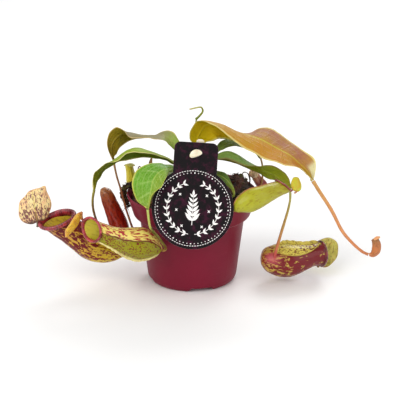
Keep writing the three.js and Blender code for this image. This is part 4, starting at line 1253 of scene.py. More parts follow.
def drill_drains(pot):
    """Cuts the four drain holes through the pot's floor."""
    drill = bmesh.new()
    for notch in NOTCH_ANGLES:
        at = notch + math.pi / 4
        spot = Vector((DRAIN_CIRCLE * math.cos(at), DRAIN_CIRCLE * math.sin(at), FOOT_HEIGHT)) * MM
        radius = DRAIN_RADIUS * MM
        bmesh.ops.create_cone(drill, cap_ends=True, segments=40, radius1=radius, radius2=radius,
                              depth=DRAIN_DEPTH * MM, matrix=Matrix.Translation(spot))
    mesh = bpy.data.meshes.new("drill")
    drill.to_mesh(mesh)
    drill.free()
    cutter = add_object("drill", mesh)
    cut = pot.modifiers.new("drains", "BOOLEAN")
    cut.operation, cut.solver, cut.object = "DIFFERENCE", "EXACT", cutter
    bpy.context.view_layer.update()
    bored = bpy.data.meshes.new_from_object(pot.evaluated_get(bpy.context.evaluated_depsgraph_get()))
    pot.modifiers.clear()
    pot.data = bored
    bpy.data.objects.remove(cutter)


# ---- soil ----------------------------------------------------------------------------------

SOIL_TOP, SOIL_EDGE, SOIL_REACH = 80, 79, 55
SOIL_SIDES, PERLITE_SHARE = 200, 0.2


def chunk(build, at, size, kind, seed, random):
    """One crumb of bark (kind 1) or perlite (kind 2): a lumpy squashed ball with a random turn."""
    polar, around = np.linspace(0.25, math.pi - 0.25, 6)[:, None], circle(9)[None]
    ball = points_of(np.sin(polar) * np.cos(around), np.sin(polar) * np.sin(around), np.cos(polar))
    lumps = 1 + 0.38 * wobble(ball, 0.9, seed)[..., None]
    tilt, spin = (Matrix.Rotation(random.uniform(0, 6.28), 3, axis) for axis in "XZ")
    shape = ball * lumps * np.array(size) @ np.array(tilt @ spin).T
    build.solid_grid(build.add(shape + np.array(at), 0.5, kind))


def make_soil(material, grains):
    random = np.random.default_rng(7)
    profile = soften([(0.4, 6.2), (35.9, 6.2), (40.6, 10.5), (47.1, 64), (53.4, 68), (56.6, 78), (54, 79.4),
                      (51, 80), (38, 80.5), (24, 81.5), (12, 82), (0.4, 82)], 0.8)
    top = profile[:, 1] > SOIL_EDGE
    low, high = profile[~top], profile[top]
    fine = spline(high, np.linspace(0, 1, 60))
    build = Build()
    points, _ = lathe(np.concatenate([low, fine]), SOIL_SIDES)
    z = points[..., 2]
    rough = 1.3 * wobble(points, 8, 1) + 0.9 * wobble(points, 3, 2) + 0.4 * wobble(points, 1.4, 3)
    z += np.where(z > SOIL_EDGE, rough - 0.2, 0)
    build.solid_grid(build.add(points, 0.5, 0))
    for number in range(grains):
        far, turn = SOIL_REACH * math.sqrt(random.uniform(0.004, 1)), random.uniform(0, 2 * math.pi)
        height = SOIL_TOP + 1.6 - 1.6 * (far / SOIL_REACH) + random.uniform(-0.4, 0.7)
        at = (far * math.cos(turn), far * math.sin(turn), height)
        if random.uniform() < PERLITE_SHARE:
            chunk(build, at, random.uniform(0.8, 1.9, 3), 2, number, random)
        else:
            chunk(build, at, random.uniform(0.9, 3.4, 3) * (1.2, 1, 0.55), 1, number, random)
    build.piece("soil_mix", material, "potting_mix", "soil")


# ---- stem ----------------------------------------------------------------------------------

STEM_AT, STEM_STEPS, STEM_SIDES = (1.5, 2), 180, 72
LEAF_SCARS = (88, 92.5, 95.5, 99, 102, 105.6, 108, 111, 114)


def make_stem(material):
    """The short woody stem with its leaf scars, flaring into the root ball under the soil."""
    rows = [(*STEM_AT, *row) for row in table("""
        46 3, 52 6, 58 9, 68 11, 77 6.6, 88 5, 100 5, 112 4.8, 116 4, 119 1""")]
    build = Build()
    line = spline(rows, np.linspace(0, 1, STEM_STEPS + 1))
    angle = circle(STEM_SIDES)
    skin = line[:, None, :3] + 5 * points_of(np.cos(angle), np.sin(angle), 0)
    bark = 0.3 * wobble(skin * (1, 1, 0.4), 2.6, 4) + 0.2 * wobble(skin * (1, 1, 0.3), 1.1, 5)
    scars = sum(bump_at(z, 0.8, skin[..., 2] + 0.8 * np.sin(angle + 1.7 * k))
                for k, z in enumerate(LEAF_SCARS))
    round_body(build, rows, STEM_STEPS, STEM_SIDES,
               lambda t, around: bark + 0.75 * scars * smooth(0.98, 0.9, t), hint=(1, 0, 0))
    build.piece("stem_wood", material, "woody_stem", "stem")


# ---- tag and its stake ---------------------------------------------------------------------

TAG_RADIUS, TAG_THICKNESS, TAG_HEIGHT = 36.6, 1, 90.5
TAG_LEAN, TAG_TURN = math.radians(18), math.radians(-3.5)
TAB_HALF_WIDTH, TAB_TOP, TAB_CORNER = 19.6, 59, 5.5
PEG_AT, PEG_HOLE = (1.5, 49), 2.4
TAG_AT = (1, -(RIM_RADIUS + 1.4 / math.cos(TAG_LEAN)) + (TAG_HEIGHT - POT_HEIGHT) * math.tan(TAG_LEAN),
          TAG_HEIGHT)
TAG_FRAME = (Matrix.Translation(TAG_AT) @ Matrix.Rotation(math.pi / 2 - TAG_LEAN, 4, "X")
             @ Matrix.Rotation(TAG_TURN, 4, "Z"))
BORDER_DASHES, BORDER_DOTS = 90, 60
DASH_CIRCLE, DOT_CIRCLE, WREATH_RADIUS = 33.4, 31.6, 23.5
DASH_TURN, DASH_WIDTH = 0.042, 0.5


def on_tag(points):
    """Points laid out on the card (x across, y up, z out of its face) moved to where it hangs."""
    turn = np.array(TAG_FRAME.to_3x3())
    return np.asarray(points, float) @ turn.T + np.array(TAG_FRAME.translation)


def arc(x, y, radius, start, end, count):
    angle = np.linspace(start, end, count)
    return points_of(x + radius * np.cos(angle), y + radius * np.sin(angle))


def make_tag(material):
    joint = math.acos(TAB_HALF_WIDTH / TAG_RADIUS)
    corner = TAB_HALF_WIDTH - TAB_CORNER
    outline = np.concatenate([
        arc(0, 0, TAG_RADIUS, math.pi - joint, 2 * math.pi + joint, 160),
        arc(corner, TAB_TOP - TAB_CORNER, TAB_CORNER, 0, math.pi / 2, 14),
        arc(-corner, TAB_TOP - TAB_CORNER, TAB_CORNER, math.pi / 2, math.pi, 14)])
    card = bpy.data.curves.new("tag_card", "CURVE")
    card.dimensions, card.fill_mode = "2D", "BOTH"
    card.extrude, card.bevel_depth, card.bevel_resolution = 0.38, 0.12, 2
    card.offset = -0.12
    for line in (outline, arc(*PEG_AT, PEG_HOLE, 0, 2 * math.pi * 39 / 40, 40)[::-1]):
        loop = card.splines.new("POLY")
        loop.points.add(len(line) - 1)
        loop.points.foreach_set("co", np.column_stack([line, line[:, 0] * 0, line[:, 0] * 0 + 1]).ravel())
        loop.use_cyclic_u = True
    shaper = add_object("tag_card", card)
    flat = bpy.data.meshes.new_from_object(shaper.evaluated_get(bpy.context.evaluated_depsgraph_get()))
    spots = np.empty(len(flat.vertices) * 3)
    flat.vertices.foreach_get("co", spots)
    spots = spots.reshape(-1, 3)
    build = Build()
    edge = (np.abs(spots[:, 2]) < 0.46).astype(float)
    build.add(on_tag(spots + (0, 0, TAG_THICKNESS / 2)), 0.5, edge, 0, 0, spots)
    build.faces = [list(face.vertices) for face in flat.polygons]
    bpy.data.objects.remove(shaper)
    bpy.data.meshes.remove(flat)
    build.piece("tag_card", material, "tag_card", "tag", sharp=30)


def turned(angle):
    """The matrix that turns rows of x and y by an angle."""
    c, s = math.cos(angle), math.sin(angle)
    return np.array([[c, s], [-s, c]])


def ink(build, outline):
    """A flat printed shape on the card's face, standing a hair proud of it."""
    outline = np.asarray(outline, float)
    height = np.full((len(outline), 1), TAG_THICKNESS + 0.03)
    build.fan(build.add(on_tag(np.column_stack([outline, height]))))


def ink_leaf(build, x, y, turn, length, width):
    """A pointed leaf shape."""
    t = np.linspace(0, 1, 13)
    half = width * np.sin(np.pi * t ** 0.8) * (1 - 0.3 * t)
    shape = np.concatenate([np.column_stack([t * length, half]),
                            np.column_stack([t * length, -half])[-2:0:-1]])
    ink(build, shape @ turned(turn) + (x, y))


def make_print(material, leaves):
    """The card's printed pattern: a double border, a wreath of leaves and a sprig in the middle."""
    build = Build()
    for at in circle(BORDER_DASHES):
        ink(build, [*arc(0, 0, DASH_CIRCLE, at, at + DASH_TURN, 5),
                    *arc(0, 0, DASH_CIRCLE + DASH_WIDTH, at + DASH_TURN, at, 5)])
    for number, at in enumerate(circle(BORDER_DOTS)):
        size = 0.62 if number % 5 == 0 else 0.42
        ink(build, arc(DOT_CIRCLE * math.cos(at), DOT_CIRCLE * math.sin(at), size, 0, 5.7, 10))
    for way in (1, -1):
        line = arc(0, 0, WREATH_RADIUS, -1.45, 1.2, 60) * (way, 1)
        inner = arc(0, 0, WREATH_RADIUS - 0.5, -1.45, 1.2, 60) * (way, 1)
        for corners in zip(line, line[1:], inner[1:], inner):
            ink(build, corners)
        for number in range(leaves):
            a = -1.35 + 2.5 * number / (leaves - 1)
            x, y = math.cos(a) * (WREATH_RADIUS - 0.3), math.sin(a) * (WREATH_RADIUS - 0.3)
            for spread in (0.75, -0.6):
                turn = a + math.pi / 2 - spread
                turn = turn if way == 1 else math.pi - turn
                ink_leaf(build, x * way, y, turn, 4.6, 0.95)
    ink(build, [(-0.3, -15), (0.3, -15), (0.18, 12), (-0.18, 12)])
    for number in range(6):
        y = -11 + 4.2 * number
        size = 9.5 - 1.05 * number
        for way in (1, -1):
            lean = math.radians(48 if way == 1 else 132)
            ink_leaf(build, 0.3 * way, y, lean, size, size * 0.2)
    ink_leaf(build, 0, 11, math.pi / 2, 6, 1.2)
    for x, y in ((-12, 12), (12, 12), (-14.5, -2), (14.5, -2), (-9, -16), (9, -16)):
        for turn in range(4):
            ink_leaf(build, x, y, turn * math.pi / 2 + math.pi / 4, 1.6, 0.42)
    build.piece("tag_print", material, "tag_card", "tag")


STAKE_HALF_LENGTH, STAKE_HALF_WIDTH, STAKE_HALF_THICKNESS = 54.25, 3.5, 1.0
STAKE_LEAN, STAKE_MIDDLE_HEIGHT = math.radians(3.5), 94.25
# The peg's head: half its length and width, and its thickness above and below its middle.
PEG_HEAD, PEG_NECK_RADIUS, PEG_HEAD_TURN = (5.8, 3.3, 1.4), 1.6, math.radians(22)


def make_stake(material):
    """The stake's strip with raised edges, and the bean-headed peg that holds the card on it."""
    build = Build()
    around = circle(64)
    cos, sin = np.cos(around), np.sin(around)
    x = STAKE_HALF_WIDTH * np.sign(cos) * np.abs(cos) ** 0.3
    y = STAKE_HALF_THICKNESS * np.sign(sin) * np.abs(sin) ** 0.45
    y = y + np.sign(sin) * (0.3 * bump_at(2.7, 0.4, np.abs(x)) * (np.abs(sin) > 0.3) - 0.1)
    height = np.linspace(-STAKE_HALF_LENGTH, STAKE_HALF_LENGTH, 90)
    narrow = np.sqrt(np.clip(1 - (np.maximum(height - 53, 0) / 1.5) ** 2, 0.02, 1))[:, None]
    point = (1 - 0.75 * smooth(-38, -54, height))[:, None]
    x = x * narrow * point
    y = y * np.where(height[:, None] > 53.6, 0.6, 1) + 0 * x
    z = height[:, None] + 0 * x
    c, s = math.cos(STAKE_LEAN), math.sin(STAKE_LEAN)
    middle = (8 - math.tan(STAKE_LEAN) * STAKE_HALF_LENGTH, -40.2, STAKE_MIDDLE_HEIGHT)
    points = points_of(x * c + z * s, y, -x * s + z * c) + middle
    build.solid_grid(build.add(points, (points[..., 2] - 40) / 108))
    neck_at = on_tag([(*PEG_AT, -5), (*PEG_AT, 3)])
    round_body(build, np.column_stack([neck_at, [PEG_NECK_RADIUS] * 2]), 8, 24)
    polar, around = np.linspace(0.06, math.pi - 0.06, 28)[:, None], circle(56)[None]
    long, wide, thick = PEG_HEAD
    bean = points_of(long * np.sin(polar) * np.cos(around), wide * np.sin(polar) * np.sin(around),
                     thick * np.cos(polar))
    bean[..., 1] -= 0.035 * bean[..., 0] ** 2 - 0.5
    crease = 0.5 * bump_at(0, 0.8, bean[..., 1]) * smooth(4.6, 3, np.abs(bean[..., 0]))
    bean[..., 2] -= np.where(bean[..., 2] > 0, crease, 0)
    flat = bean[..., :2] @ turned(PEG_HEAD_TURN)
    head = np.concatenate([flat + (-0.3, PEG_AT[1] - 0.2), bean[..., 2:] + TAG_THICKNESS + 1.8], axis=-1)
    build.solid_grid(build.add(on_tag(head), 1.0))
    build.piece("tag_stake_strip", material, "tag_stake", "tag_stake", sharp=50)


# ---- moss and dried bits -------------------------------------------------------------------

STRAND_STEPS, STRAND_SIDES = 9, 5


def strand(build, start, way, length, radius, kind, random, sag=0.5):
    """A thin curly thread, such as a root or a moss stalk."""
    points, heading = [np.array(start, float)], unit(way)
    for _ in range(STRAND_STEPS):
        heading = unit(heading + random.normal(0, 0.28, 3) - (0, 0, sag / STRAND_STEPS))
        points.append(points[-1] + heading * length / STRAND_STEPS)
    taper = radius * np.linspace(1, 0.35, STRAND_STEPS + 1)
    t = np.linspace(0, 1, STRAND_STEPS * 2 + 1)
    line = spline(np.column_stack([points, taper]), t)
    ring = line[:, None, :3] + line[:, None, 3:] * outward(points, t, circle(STRAND_SIDES), (0.3, 0.2, 1))
    build.solid_grid(build.add(ring, t[:, None], kind))


MOSS_STEPS, MOSS_SIDES = 16, 48
RIBBON_STEPS, RIBBON_POINTS = 18, 15


def make_moss(name, rows, material, count, roots, seed):
    """A clump of moss and old leaf scraps: a shaggy core with threads and flakes all over it."""
    random = np.random.default_rng(seed)
    build = Build()
    steps = MOSS_STEPS * (len(rows) - 1)
    t = np.linspace(0, 1, steps + 1)
    line, ways = spline(rows, t), outward(rows, t, circle(MOSS_SIDES), (0, 0, 1))
    skin = line[:, None, :3] + line[:, None, 3:] * ways
    rough = 1.0 * wobble(skin, 4, seed) + 0.8 * wobble(skin, 1.6, seed + 1)
    round_body(build, rows, steps, MOSS_SIDES,
               lambda t, around: rough * smooth(0, 0.1, t) * smooth(1, 0.9, t) - 0.4)
    for number in range(count):
        i, j = random.integers(2, steps - 1), random.integers(0, MOSS_SIDES)
        spot, way = skin[i, j], ways[i, j]
        if way[2] < -0.45:
            continue
        kind = random.choice([0, 1, 1, 2])
        if number % 4:
            way = way + random.normal(0, 0.5, 3)
            length, radius = random.uniform(2.0, 5.0), random.uniform(0.16, 0.34)
            strand(build, spot - way * 0.6, way, length, radius, kind, random)
        else:
            chunk(build, spot, random.uniform(0.5, 2.6, 3) * (1.3, 1, 0.3), kind, number + seed, random)
    for start, way, length in roots:
        strand(build, start, way, length, 0.3, 1, random, sag=1.1)
    build.piece(name + "_clump", material, "moss", name)


def make_ribbon(name, rows, material, width, twist, curl, dark, seed):
    """A dried strip of leaf: a thin trough, twisted along its length, with a ragged edge."""
    t = np.linspace(0, 1, RIBBON_STEPS * (len(rows) - 1) + 1)
    s = np.linspace(-1, 1, RIBBON_POINTS)
    line = spline(rows, t)
    first, second = ring_axes(rows, t, (0.4, 1, 0.3))
    turn = twist * t
    across = first * np.cos(turn)[:, None] + second * np.sin(turn)[:, None]
    upward = -first * np.sin(turn)[:, None] + second * np.cos(turn)[:, None]
    ragged = 1 + 0.16 * wobble(line[:, :3] + (0, 0, 3), 2.2, seed)
    half = line[:, 3] * width * ragged
    roll = curl * s[None]
    x = np.sin(roll) / max(curl, 0.1) * half[:, None]
    y = (1 - np.cos(roll)) / max(curl, 0.1) * half[:, None] - half[:, None] * 0.3
    y = y + 0.16 * wobble(points_of(x, y, t[:, None] * 40), 1.5, seed)
    mid = line[:, None, :3] + across[:, None] * x[..., None] + upward[:, None] * y[..., None]
    place = points_of(x, y, travel(line[:, :3])[:, None])
    build = Build()
    marks = {"along": t[:, None], "across": s[None], "place": place}
    thick = 0.22 * (1 - 0.5 * np.abs(s))[None, :, None]
    build.sheet(build.add(mid + upward[:, None] * thick, side=dark, **marks),
                build.add(mid - upward[:, None] * thick, side=dark, **marks))
    build.piece(name + "_strip", material, "dried", name)


# ---- colours of each piece -----------------------------------------------------------------

# What most leaves share. A leaf's own look goes over it.
GREEN_LEAF = dict(cloud_color="#708c3a", vein_color="#bacd80", under_cloud="#46540a",
    under_vein="#7a882c", rib_color="#b0c05c", margin_color="#cecc84")

LEAF_LOOKS = {
    "back_left": dict(cloud_color="#92845c", vein_color="#a69870", under_cloud="#706200",
        rib_color="#9c8c54", margin_color="#ceb280",
        upper="0 #808e3e, 0.17 #98b248, 0.3 #847e52, 0.7 #7e724e, 1 #8c7042",
        under="0 #7a7600, 0.6 #847400, 1 #84640a", margin_width=0.1, freckles=0.4),
    "left": dict(margin_color="#ded08e", upper="0 #708a14, 0.3 #8ea224, 0.8 #909e22, 1 #948e22",
        under="0 #586e00, 0.6 #607400, 1 #7c7606", margin_width=0.08),
    "front_left": dict(cloud_color="#4a8216", vein_color="#b4ce74", margin_color="#cec660",
        upper="0 #567a1e, 0.3 #5c9220, 0.7 #689e28, 1 #849828",
        far="0 #647e22, 0.3 #749624, 0.7 #829e2c, 1 #969a28", under="0 #5c7018, 1 #708428",
        freckles=0.8, rough=0.2, veins=0.7),
    # The right leaf's whitish tip colour is a painted highlight, the glare on its down-curled tip.
    "right": dict(cloud_color="#b08a18", vein_color="#cea05a", under_cloud="#bca400",
        under_vein="#d6c21e", rib_color="#bebe3c", margin_color="#e2d68c",
        upper="0 #96840a, 0.3 #b68a1a, 0.55 #b88218, 0.8 #b47624, 1 #b49028", cloud=0.7,
        far="0 #8c8228, 0.35 #9e724e, 0.8 #a0684e, 1 #b89646",
        under="0 #c8b600, 0.3 #d6b600, 0.5 #c8a400, 1 #a0781e", rib=0.8, rib_width=0.06,
        margin_width=0.12, margin=0.7, freckles=0.35, veins=0.2, tip_glare_color="#e2deb0"),
    "back_right": dict(cloud_color="#34461a", vein_color="#6e8040", rib_color="#7c883c",
        margin_color="#969454", upper="0 #546c1e, 0.6 #5c7020, 1 #7c7828",
        under="0 #34420e, 1 #60581e"),
    "low_right": dict(cloud_color="#627e32", vein_color="#8ea46c", under_cloud="#6c7c00",
        margin_color="#84683e", upper="0 #708a32, 0.5 #749446, 0.8 #748c32, 1 #969632",
        under="0 #7c8c00, 0.7 #869200, 1 #96901e", margin_width=0.14, margin=0.7, freckles=0.6),
    "front_right": dict(cloud_color="#3c560e", vein_color="#6c8238", rib_color="#9eae46",
        margin_color="#8c8c4a", upper="0 #506818, 0.6 #4c6818, 1 #969c32",
        under="0 #425a0a, 1 #78821e", rib_width=0.14),
    "newest": dict(upper="0 #607c2c, 0.5 #78923c, 1 #b2ba6e", under="0 #587022, 1 #aab264"),
    "low_back": dict(cloud_color="#3a4c1c", vein_color="#6c7c3e", upper="0 #4a5c24, 1 #646c2e",
        under="0 #3c4c12, 1 #5c5c24"),
}

# Colours from the leaf's tip to the pitcher.
TENDRIL_LOOKS = {
    "back_left": "0 #92703e, 0.3 #864a2e, 1 #703424",
    "left": "0 #96963c, 0.2 #886832, 0.5 #864e2e, 1 #843c28",
    "front_left": "0 #b2c060, 0.5 #b2ba58, 0.85 #baa84e, 1 #b08040",
    "right": "0 #ce9e58, 0.5 #d88e5a, 1 #be7046",
    "back_right": "0 #967c3e, 1 #8e4832",
    "low_right": "0 #a8ac54, 0.4 #c29e54, 0.7 #c2744a, 0.9 #c04a48, 1 #cc585c",
    "front_right": "0 #96a442, 1 #beb058",
    "newest": "0 #788c28, 0.5 #84922c, 0.8 #aaaa54, 1 #c6bc82",
    "low_back": "0 #707032, 1 #96763c",
}

CUP_LOOKS = {
    "far_left": dict(ground="0 #ccb42c, 0.35 #c4a624, 0.65 #c49432, 1 #ba7c3c",
        ground_cloud="#ceba32", marks="0 #881e18, 0.5 #6a0c12, 1 #5c0a12", cover=0.515, strength=1,
        gain=0.07, thicken=(0.25, 0.85), blots=0.59, blot_size=4, streak_size=1.8, inside="#ccb032",
        inside_streak_and_shade="#8c681e", wing_color="#aa964a", wing_specks=0.6, speck="#601e1e"),
    "front_left": dict(ground="0 #96823c, 0.3 #787628, 1 #707024", ground_cloud="#867e2e",
        marks="0 #803428, 1 #742822", cover=0.6, blots=0.62, upper="#decc68",
        upper_streak="#a22c2e", face="#8a8600", speck="#701a0e", crowd=0.03, few=0.535,
        inside="#beb032", inside_streak_and_shade="#88761e", wing_color="#ded28c", front_wing="#702e1a"),
    "right": dict(ground="0 #9c9c1a, 0.5 #a6a422, 1 #9c921c", ground_cloud="#c2be4c",
        marks="0 #7e760e, 1 #8c6c18", cover=0.57, gain=0.04, thicken=(0.5, 1), blots=0.62,
        strength=0.5, face="#8e861c", speck="#8c5a2c", inside="#786c2c", inside_streak_and_shade="#543c22",
        wing_color="#aa7446"),
    # The low_right pitcher's pink bend colour is a painted highlight.
    "low_right": dict(ground="0 #b06030, 0.12 #a0482c, 0.25 #781a1e, 1 #6c121a",
        ground_cloud="#7e161e", marks="0 #cc9646, 0.4 #c8b04a, 1 #d0be56", cover=0.635, gain=0.14,
        thicken=(0.62, 0.3), blots=0.6, blot_size=4.2, streak_size=2.2, face="#d6c658",
        face_from=0.3, crowd=0.1, few=0.56, speck="#68161a", inside="#96843e",
        inside_streak_and_shade="#603222", wing_color="#d6c658", wing_specks=0.6, bend_highlight="#ce5c64", coat=0.12),
}

# Each collar's dark and light colour. The light colour is the pink of the collar's highlights, laid in
# random patches and on the rib crests, so it is partly painted highlight and partly the collar's own varied
# tone.
LIP_LOOKS = {
    "far_left": ("#600a18", "#b0323e"),
    "front_left": ("#761220", "#c04048"),
    "right": ("#702220", "#a44e34"),
    "low_right": ("#54141a", "#8a262a"),
}

LID_LOOKS = {
    "lid_far_left": dict(ground="#e8d496", ground_cloud="#e0b682", streak="#70363c", cover=0.545,
        foot_color="#2c0e12", foot_dark=0.08, keel_color="#ceb842", rim="#d6a070", keel=0.4,
        strength=0.95, grain=1.35),
    "lid_front_left": dict(ground="#e2b82c", ground_cloud="#d6a028", streak="#a0541e", cover=0.55,
        foot_color="#b06032", keel_color="#e2ce6e", rim="#d6a660", strength=0.6),
    "lid_right": dict(ground="#c2c01e", ground_cloud="#cca81e", streak="#be8228", cover=0.6,
        foot_color="#b06032", keel_color="#cecc46", rim="#9ca61e", strength=0.5),
    "lid_low_right": dict(ground="#cec45c", ground_cloud="#aaa032", streak="#785c24", cover=0.55,
        foot_color="#783a28", keel_color="#d6ce6e", rim="#a08c3c", strength=0.6),
    "lid_back_left": dict(ground="#9e963e", ground_cloud="#8a8432", streak="#78602c", cover=0.6,
        foot_color="#967838", keel_color="#b0aa50", rim="#aa9e4a", strength=0.5),
    "lid_back_right": dict(ground="#d4c4a2", ground_cloud="#bea882", streak="#8c6c4c", cover=0.55,
        foot_color="#78563c", keel_color="#cebe96", rim="#a68a64", rough=0.7),
    "lid_bud": dict(ground="#e4a66e", ground_cloud="#d68e58", streak="#b0603c", cover=0.6,
        foot_color="#965436", keel_color="#e8be82", rim="#ce8254", strength=0.5),
}

# Ground, top and spots, how strong the spots are, and the roughness.
POD_LOOKS = {
    "dark": ("#98200c", "#9c622c", "#520604", 0.65, 0.18),
    "back_left": ("#ccbe28", "#c4ba28", "#a08214", 0.35, 0.36),
    "back_right": ("#862422", "#bc8664", "#601416", 0.6, 0.45),
    "bud": ("#be7038", "#926030", "#704022", 0.5, 0.36),
}

BRONZE_LEAVES = ("back_left", "right")
CUP_SLOTS = {"right": "pitcher_yellow"}
POD_SLOTS = {"dark": "pitcher_dark", "back_left": "pitcher_yellow", "back_right": "pitcher_dark",
             "bud": "tendril"}
LID_SLOTS = {"lid_right": "pitcher_yellow", "lid_back_left": "pitcher_yellow", "lid_back_right": "dried",
             "lid_bud": "tendril"}


# ---- camera, floor and light -----------------------------------------------------------------

VIEW_TARGET = (0.0075, 0.0, 0.0767)
VIEW_DISTANCE = 1.3
VIEW_ELEVATION = math.radians(19.6)
VIEW_LENS, VIEW_SENSOR = 124.8, 36
FLOOR_RADIUS = 20


def make_camera():
    lens = bpy.data.cameras.new("photo_camera")
    lens.lens, lens.sensor_width = VIEW_LENS, VIEW_SENSOR
    lens.clip_end = 100
    camera = add_object("photo_camera", lens)
    way = Vector((0, -math.cos(VIEW_ELEVATION), math.sin(VIEW_ELEVATION)))
    camera.location = Vector(VIEW_TARGET) + way * VIEW_DISTANCE
    camera.rotation_euler = (math.pi / 2 - VIEW_ELEVATION, 0, 0)
    bpy.context.scene.camera = camera


def make_light(name, at, size, power, color):
    lamp = bpy.data.lights.new(name, "AREA")
    lamp.shape, lamp.size, lamp.energy, lamp.color = "DISK", size, power, color
    light = add_object(name, lamp)
    light.location = at
    light.rotation_euler = (Vector(VIEW_TARGET) - Vector(at)).to_track_quat("-Z", "Y").to_euler()


def make_floor(color):
    """A wide pale floor, very slightly uneven in sheen."""
    paint = Paint("floor")
    cloud = paint.noise(paint.world(), 900, 2)
    shade = paint.mix(cloud, color, toned(color, 0.985))
    material = paint.done(shade, 0.75 + 0.1 * cloud)
    shape = bmesh.new()
    bmesh.ops.create_circle(shape, cap_ends=True, segments=96, radius=FLOOR_RADIUS)
    mesh = bpy.data.meshes.new("floor")
    shape.to_mesh(mesh)
    shape.free()
    mesh.materials.append(material)
    floor = add_object("floor", mesh)


def make_world(strength):
    world = bpy.data.worlds.new("studio")
    world.use_nodes = True
    back = world.node_tree.nodes["Background"]
    back.inputs["Color"].default_value = (1, 1, 1, 1)
    back.inputs["Strength"].default_value = strength
    bpy.context.scene.world = world


# ---- what a user can change ------------------------------------------------------------------


class PitcherPlantSizes(bpy.types.PropertyGroup):
    leaf_wave: bpy.props.FloatProperty(
        name="Leaf wave", description="How far a leaf's margin waves up and down",
        default=0.0005, min=0, max=0.002, precision=5, unit="LENGTH")
    wing_scale: bpy.props.FloatProperty(
        name="Wing height", description="Height of the pitchers' wings, against their usual height",
        default=1.25, min=0.3, max=2, subtype="FACTOR")
    lip_scale: bpy.props.FloatProperty(
        name="Collar size", description="Thickness of the ribbed collars, against their usual thickness",
        default=1.0, min=0.5, max=1.5, subtype="FACTOR")
    lip_ribs: bpy.props.IntProperty(
        name="Collar ribs", description="Number of fine ribs round a collar", default=72, min=0, max=120)
    grains: bpy.props.IntProperty(
        name="Crumbs", description="Number of bark and perlite crumbs on the soil",
        default=420, min=0, max=900)
    moss_threads: bpy.props.IntProperty(
        name="Moss threads", description="Number of threads and scraps on a clump of moss",
        default=420, min=0, max=900)
    print_leaves: bpy.props.IntProperty(
        name="Wreath leaves", description="Pairs of leaves on each half of the card's wreath",
        default=11, min=3, max=20)


class PitcherPlantColors(bpy.types.PropertyGroup):
    pot: bpy.props.FloatVectorProperty(
        name="Pot", description="Colour of the pot's plastic", size=4, subtype="COLOR",
        default=srgb("#7a122c"), min=0, max=1)
    stake: bpy.props.FloatVectorProperty(
        name="Stake", description="Colour of the tag's stake", size=4, subtype="COLOR",
        default=srgb("#ded2b4"), min=0, max=1)
    floor: bpy.props.FloatVectorProperty(
        name="Floor", description="Colour of the studio floor", size=4, subtype="COLOR",
        default=(0.97, 0.97, 0.97, 1), min=0, max=1)
    daylight: bpy.props.FloatProperty(
        name="Surrounding light", description="Strength of the even light from all round",
        default=0.6, min=0, max=3)


# ---- operators -------------------------------------------------------------------------------


class PITCHERPLANT_OT_stage(bpy.types.Operator):
    """Set up the camera, the pale floor and the studio lights"""
    bl_idname = "pitcherplant.stage"
    bl_label = "Stage"

    def execute(self, context):
        colors = context.scene.pitcher_plant_colors
        make_camera()
        make_floor(tuple(colors.floor))
        make_world(colors.daylight)
        make_light("key_light", (-1.2, -1.3, 1.4), 2.0, 30, (1.0, 0.985, 0.96))
        make_light("fill_light", (1.4, -1.2, 0.9), 1.4, 8, (0.97, 0.985, 1.0))
        make_light("rim_light", (0.5, 1.35, 1.2), 1.0, 12, (1.0, 1.0, 1.0))
        context.scene.view_settings.view_transform = "Standard"
        return {"FINISHED"}


class PITCHERPLANT_OT_pot(bpy.types.Operator):
    """Build the plastic nursery pot"""
    bl_idname = "pitcherplant.pot"
    bl_label = "Pot"

    def execute(self, context):
        make_pot(pot_plastic(tuple(context.scene.pitcher_plant_colors.pot)))
        return {"FINISHED"}


class PITCHERPLANT_OT_soil(bpy.types.Operator):
    """Fill the pot with soil, bark and perlite"""
    bl_idname = "pitcherplant.soil"
    bl_label = "Soil"

    def execute(self, context):
        make_soil(potting_mix(), context.scene.pitcher_plant_sizes.grains)
        return {"FINISHED"}


class PITCHERPLANT_OT_stem(bpy.types.Operator):
    """Build the woody stem with its leaf scars"""
    bl_idname = "pitcherplant.stem"
    bl_label = "Stem"

    def execute(self, context):
        make_stem(stem_bark())
        return {"FINISHED"}


class PITCHERPLANT_OT_tag(bpy.types.Operator):
    """Build the round card with its printed wreath"""
    bl_idname = "pitcherplant.tag"
    bl_label = "Card tag"

    def execute(self, context):
        make_tag(tag_card_finish())
        make_print(tag_ink_finish(), context.scene.pitcher_plant_sizes.print_leaves)
        return {"FINISHED"}


class PITCHERPLANT_OT_stake(bpy.types.Operator):
    """Build the tag's stake and its peg"""
    bl_idname = "pitcherplant.stake"
    bl_label = "Stake"

    def execute(self, context):
        make_stake(stake_plastic(tuple(context.scene.pitcher_plant_colors.stake)))
        return {"FINISHED"}


class PITCHERPLANT_OT_leaves(bpy.types.Operator):
    """Build the leaf blades"""
    bl_idname = "pitcherplant.leaves"
    bl_label = "Leaves"

    def execute(self, context):
        sizes = context.scene.pitcher_plant_sizes
        for seed, (name, rows) in enumerate(LEAVES.items(), 1):
            slot = "leaf_bronze" if name in BRONZE_LEAVES else "leaf_green"
            skin = leaf_skin("leaf_" + name, {**GREEN_LEAF, **LEAF_LOOKS[name]})
            make_leaf(name, rows, skin, slot, sizes, seed)
        return {"FINISHED"}


class PITCHERPLANT_OT_tendrils(bpy.types.Operator):
    """Build the tendrils that hang from the leaves' tips"""
    bl_idname = "pitcherplant.tendrils"
    bl_label = "Tendrils"

    def execute(self, context):
        for seed, (name, (ends, points)) in enumerate(TENDRILS.items(), 20):
            skin = tendril_skin("tendril_" + name, TENDRIL_LOOKS[name])
            make_tendril(name, ends, points, skin, seed)
        return {"FINISHED"}


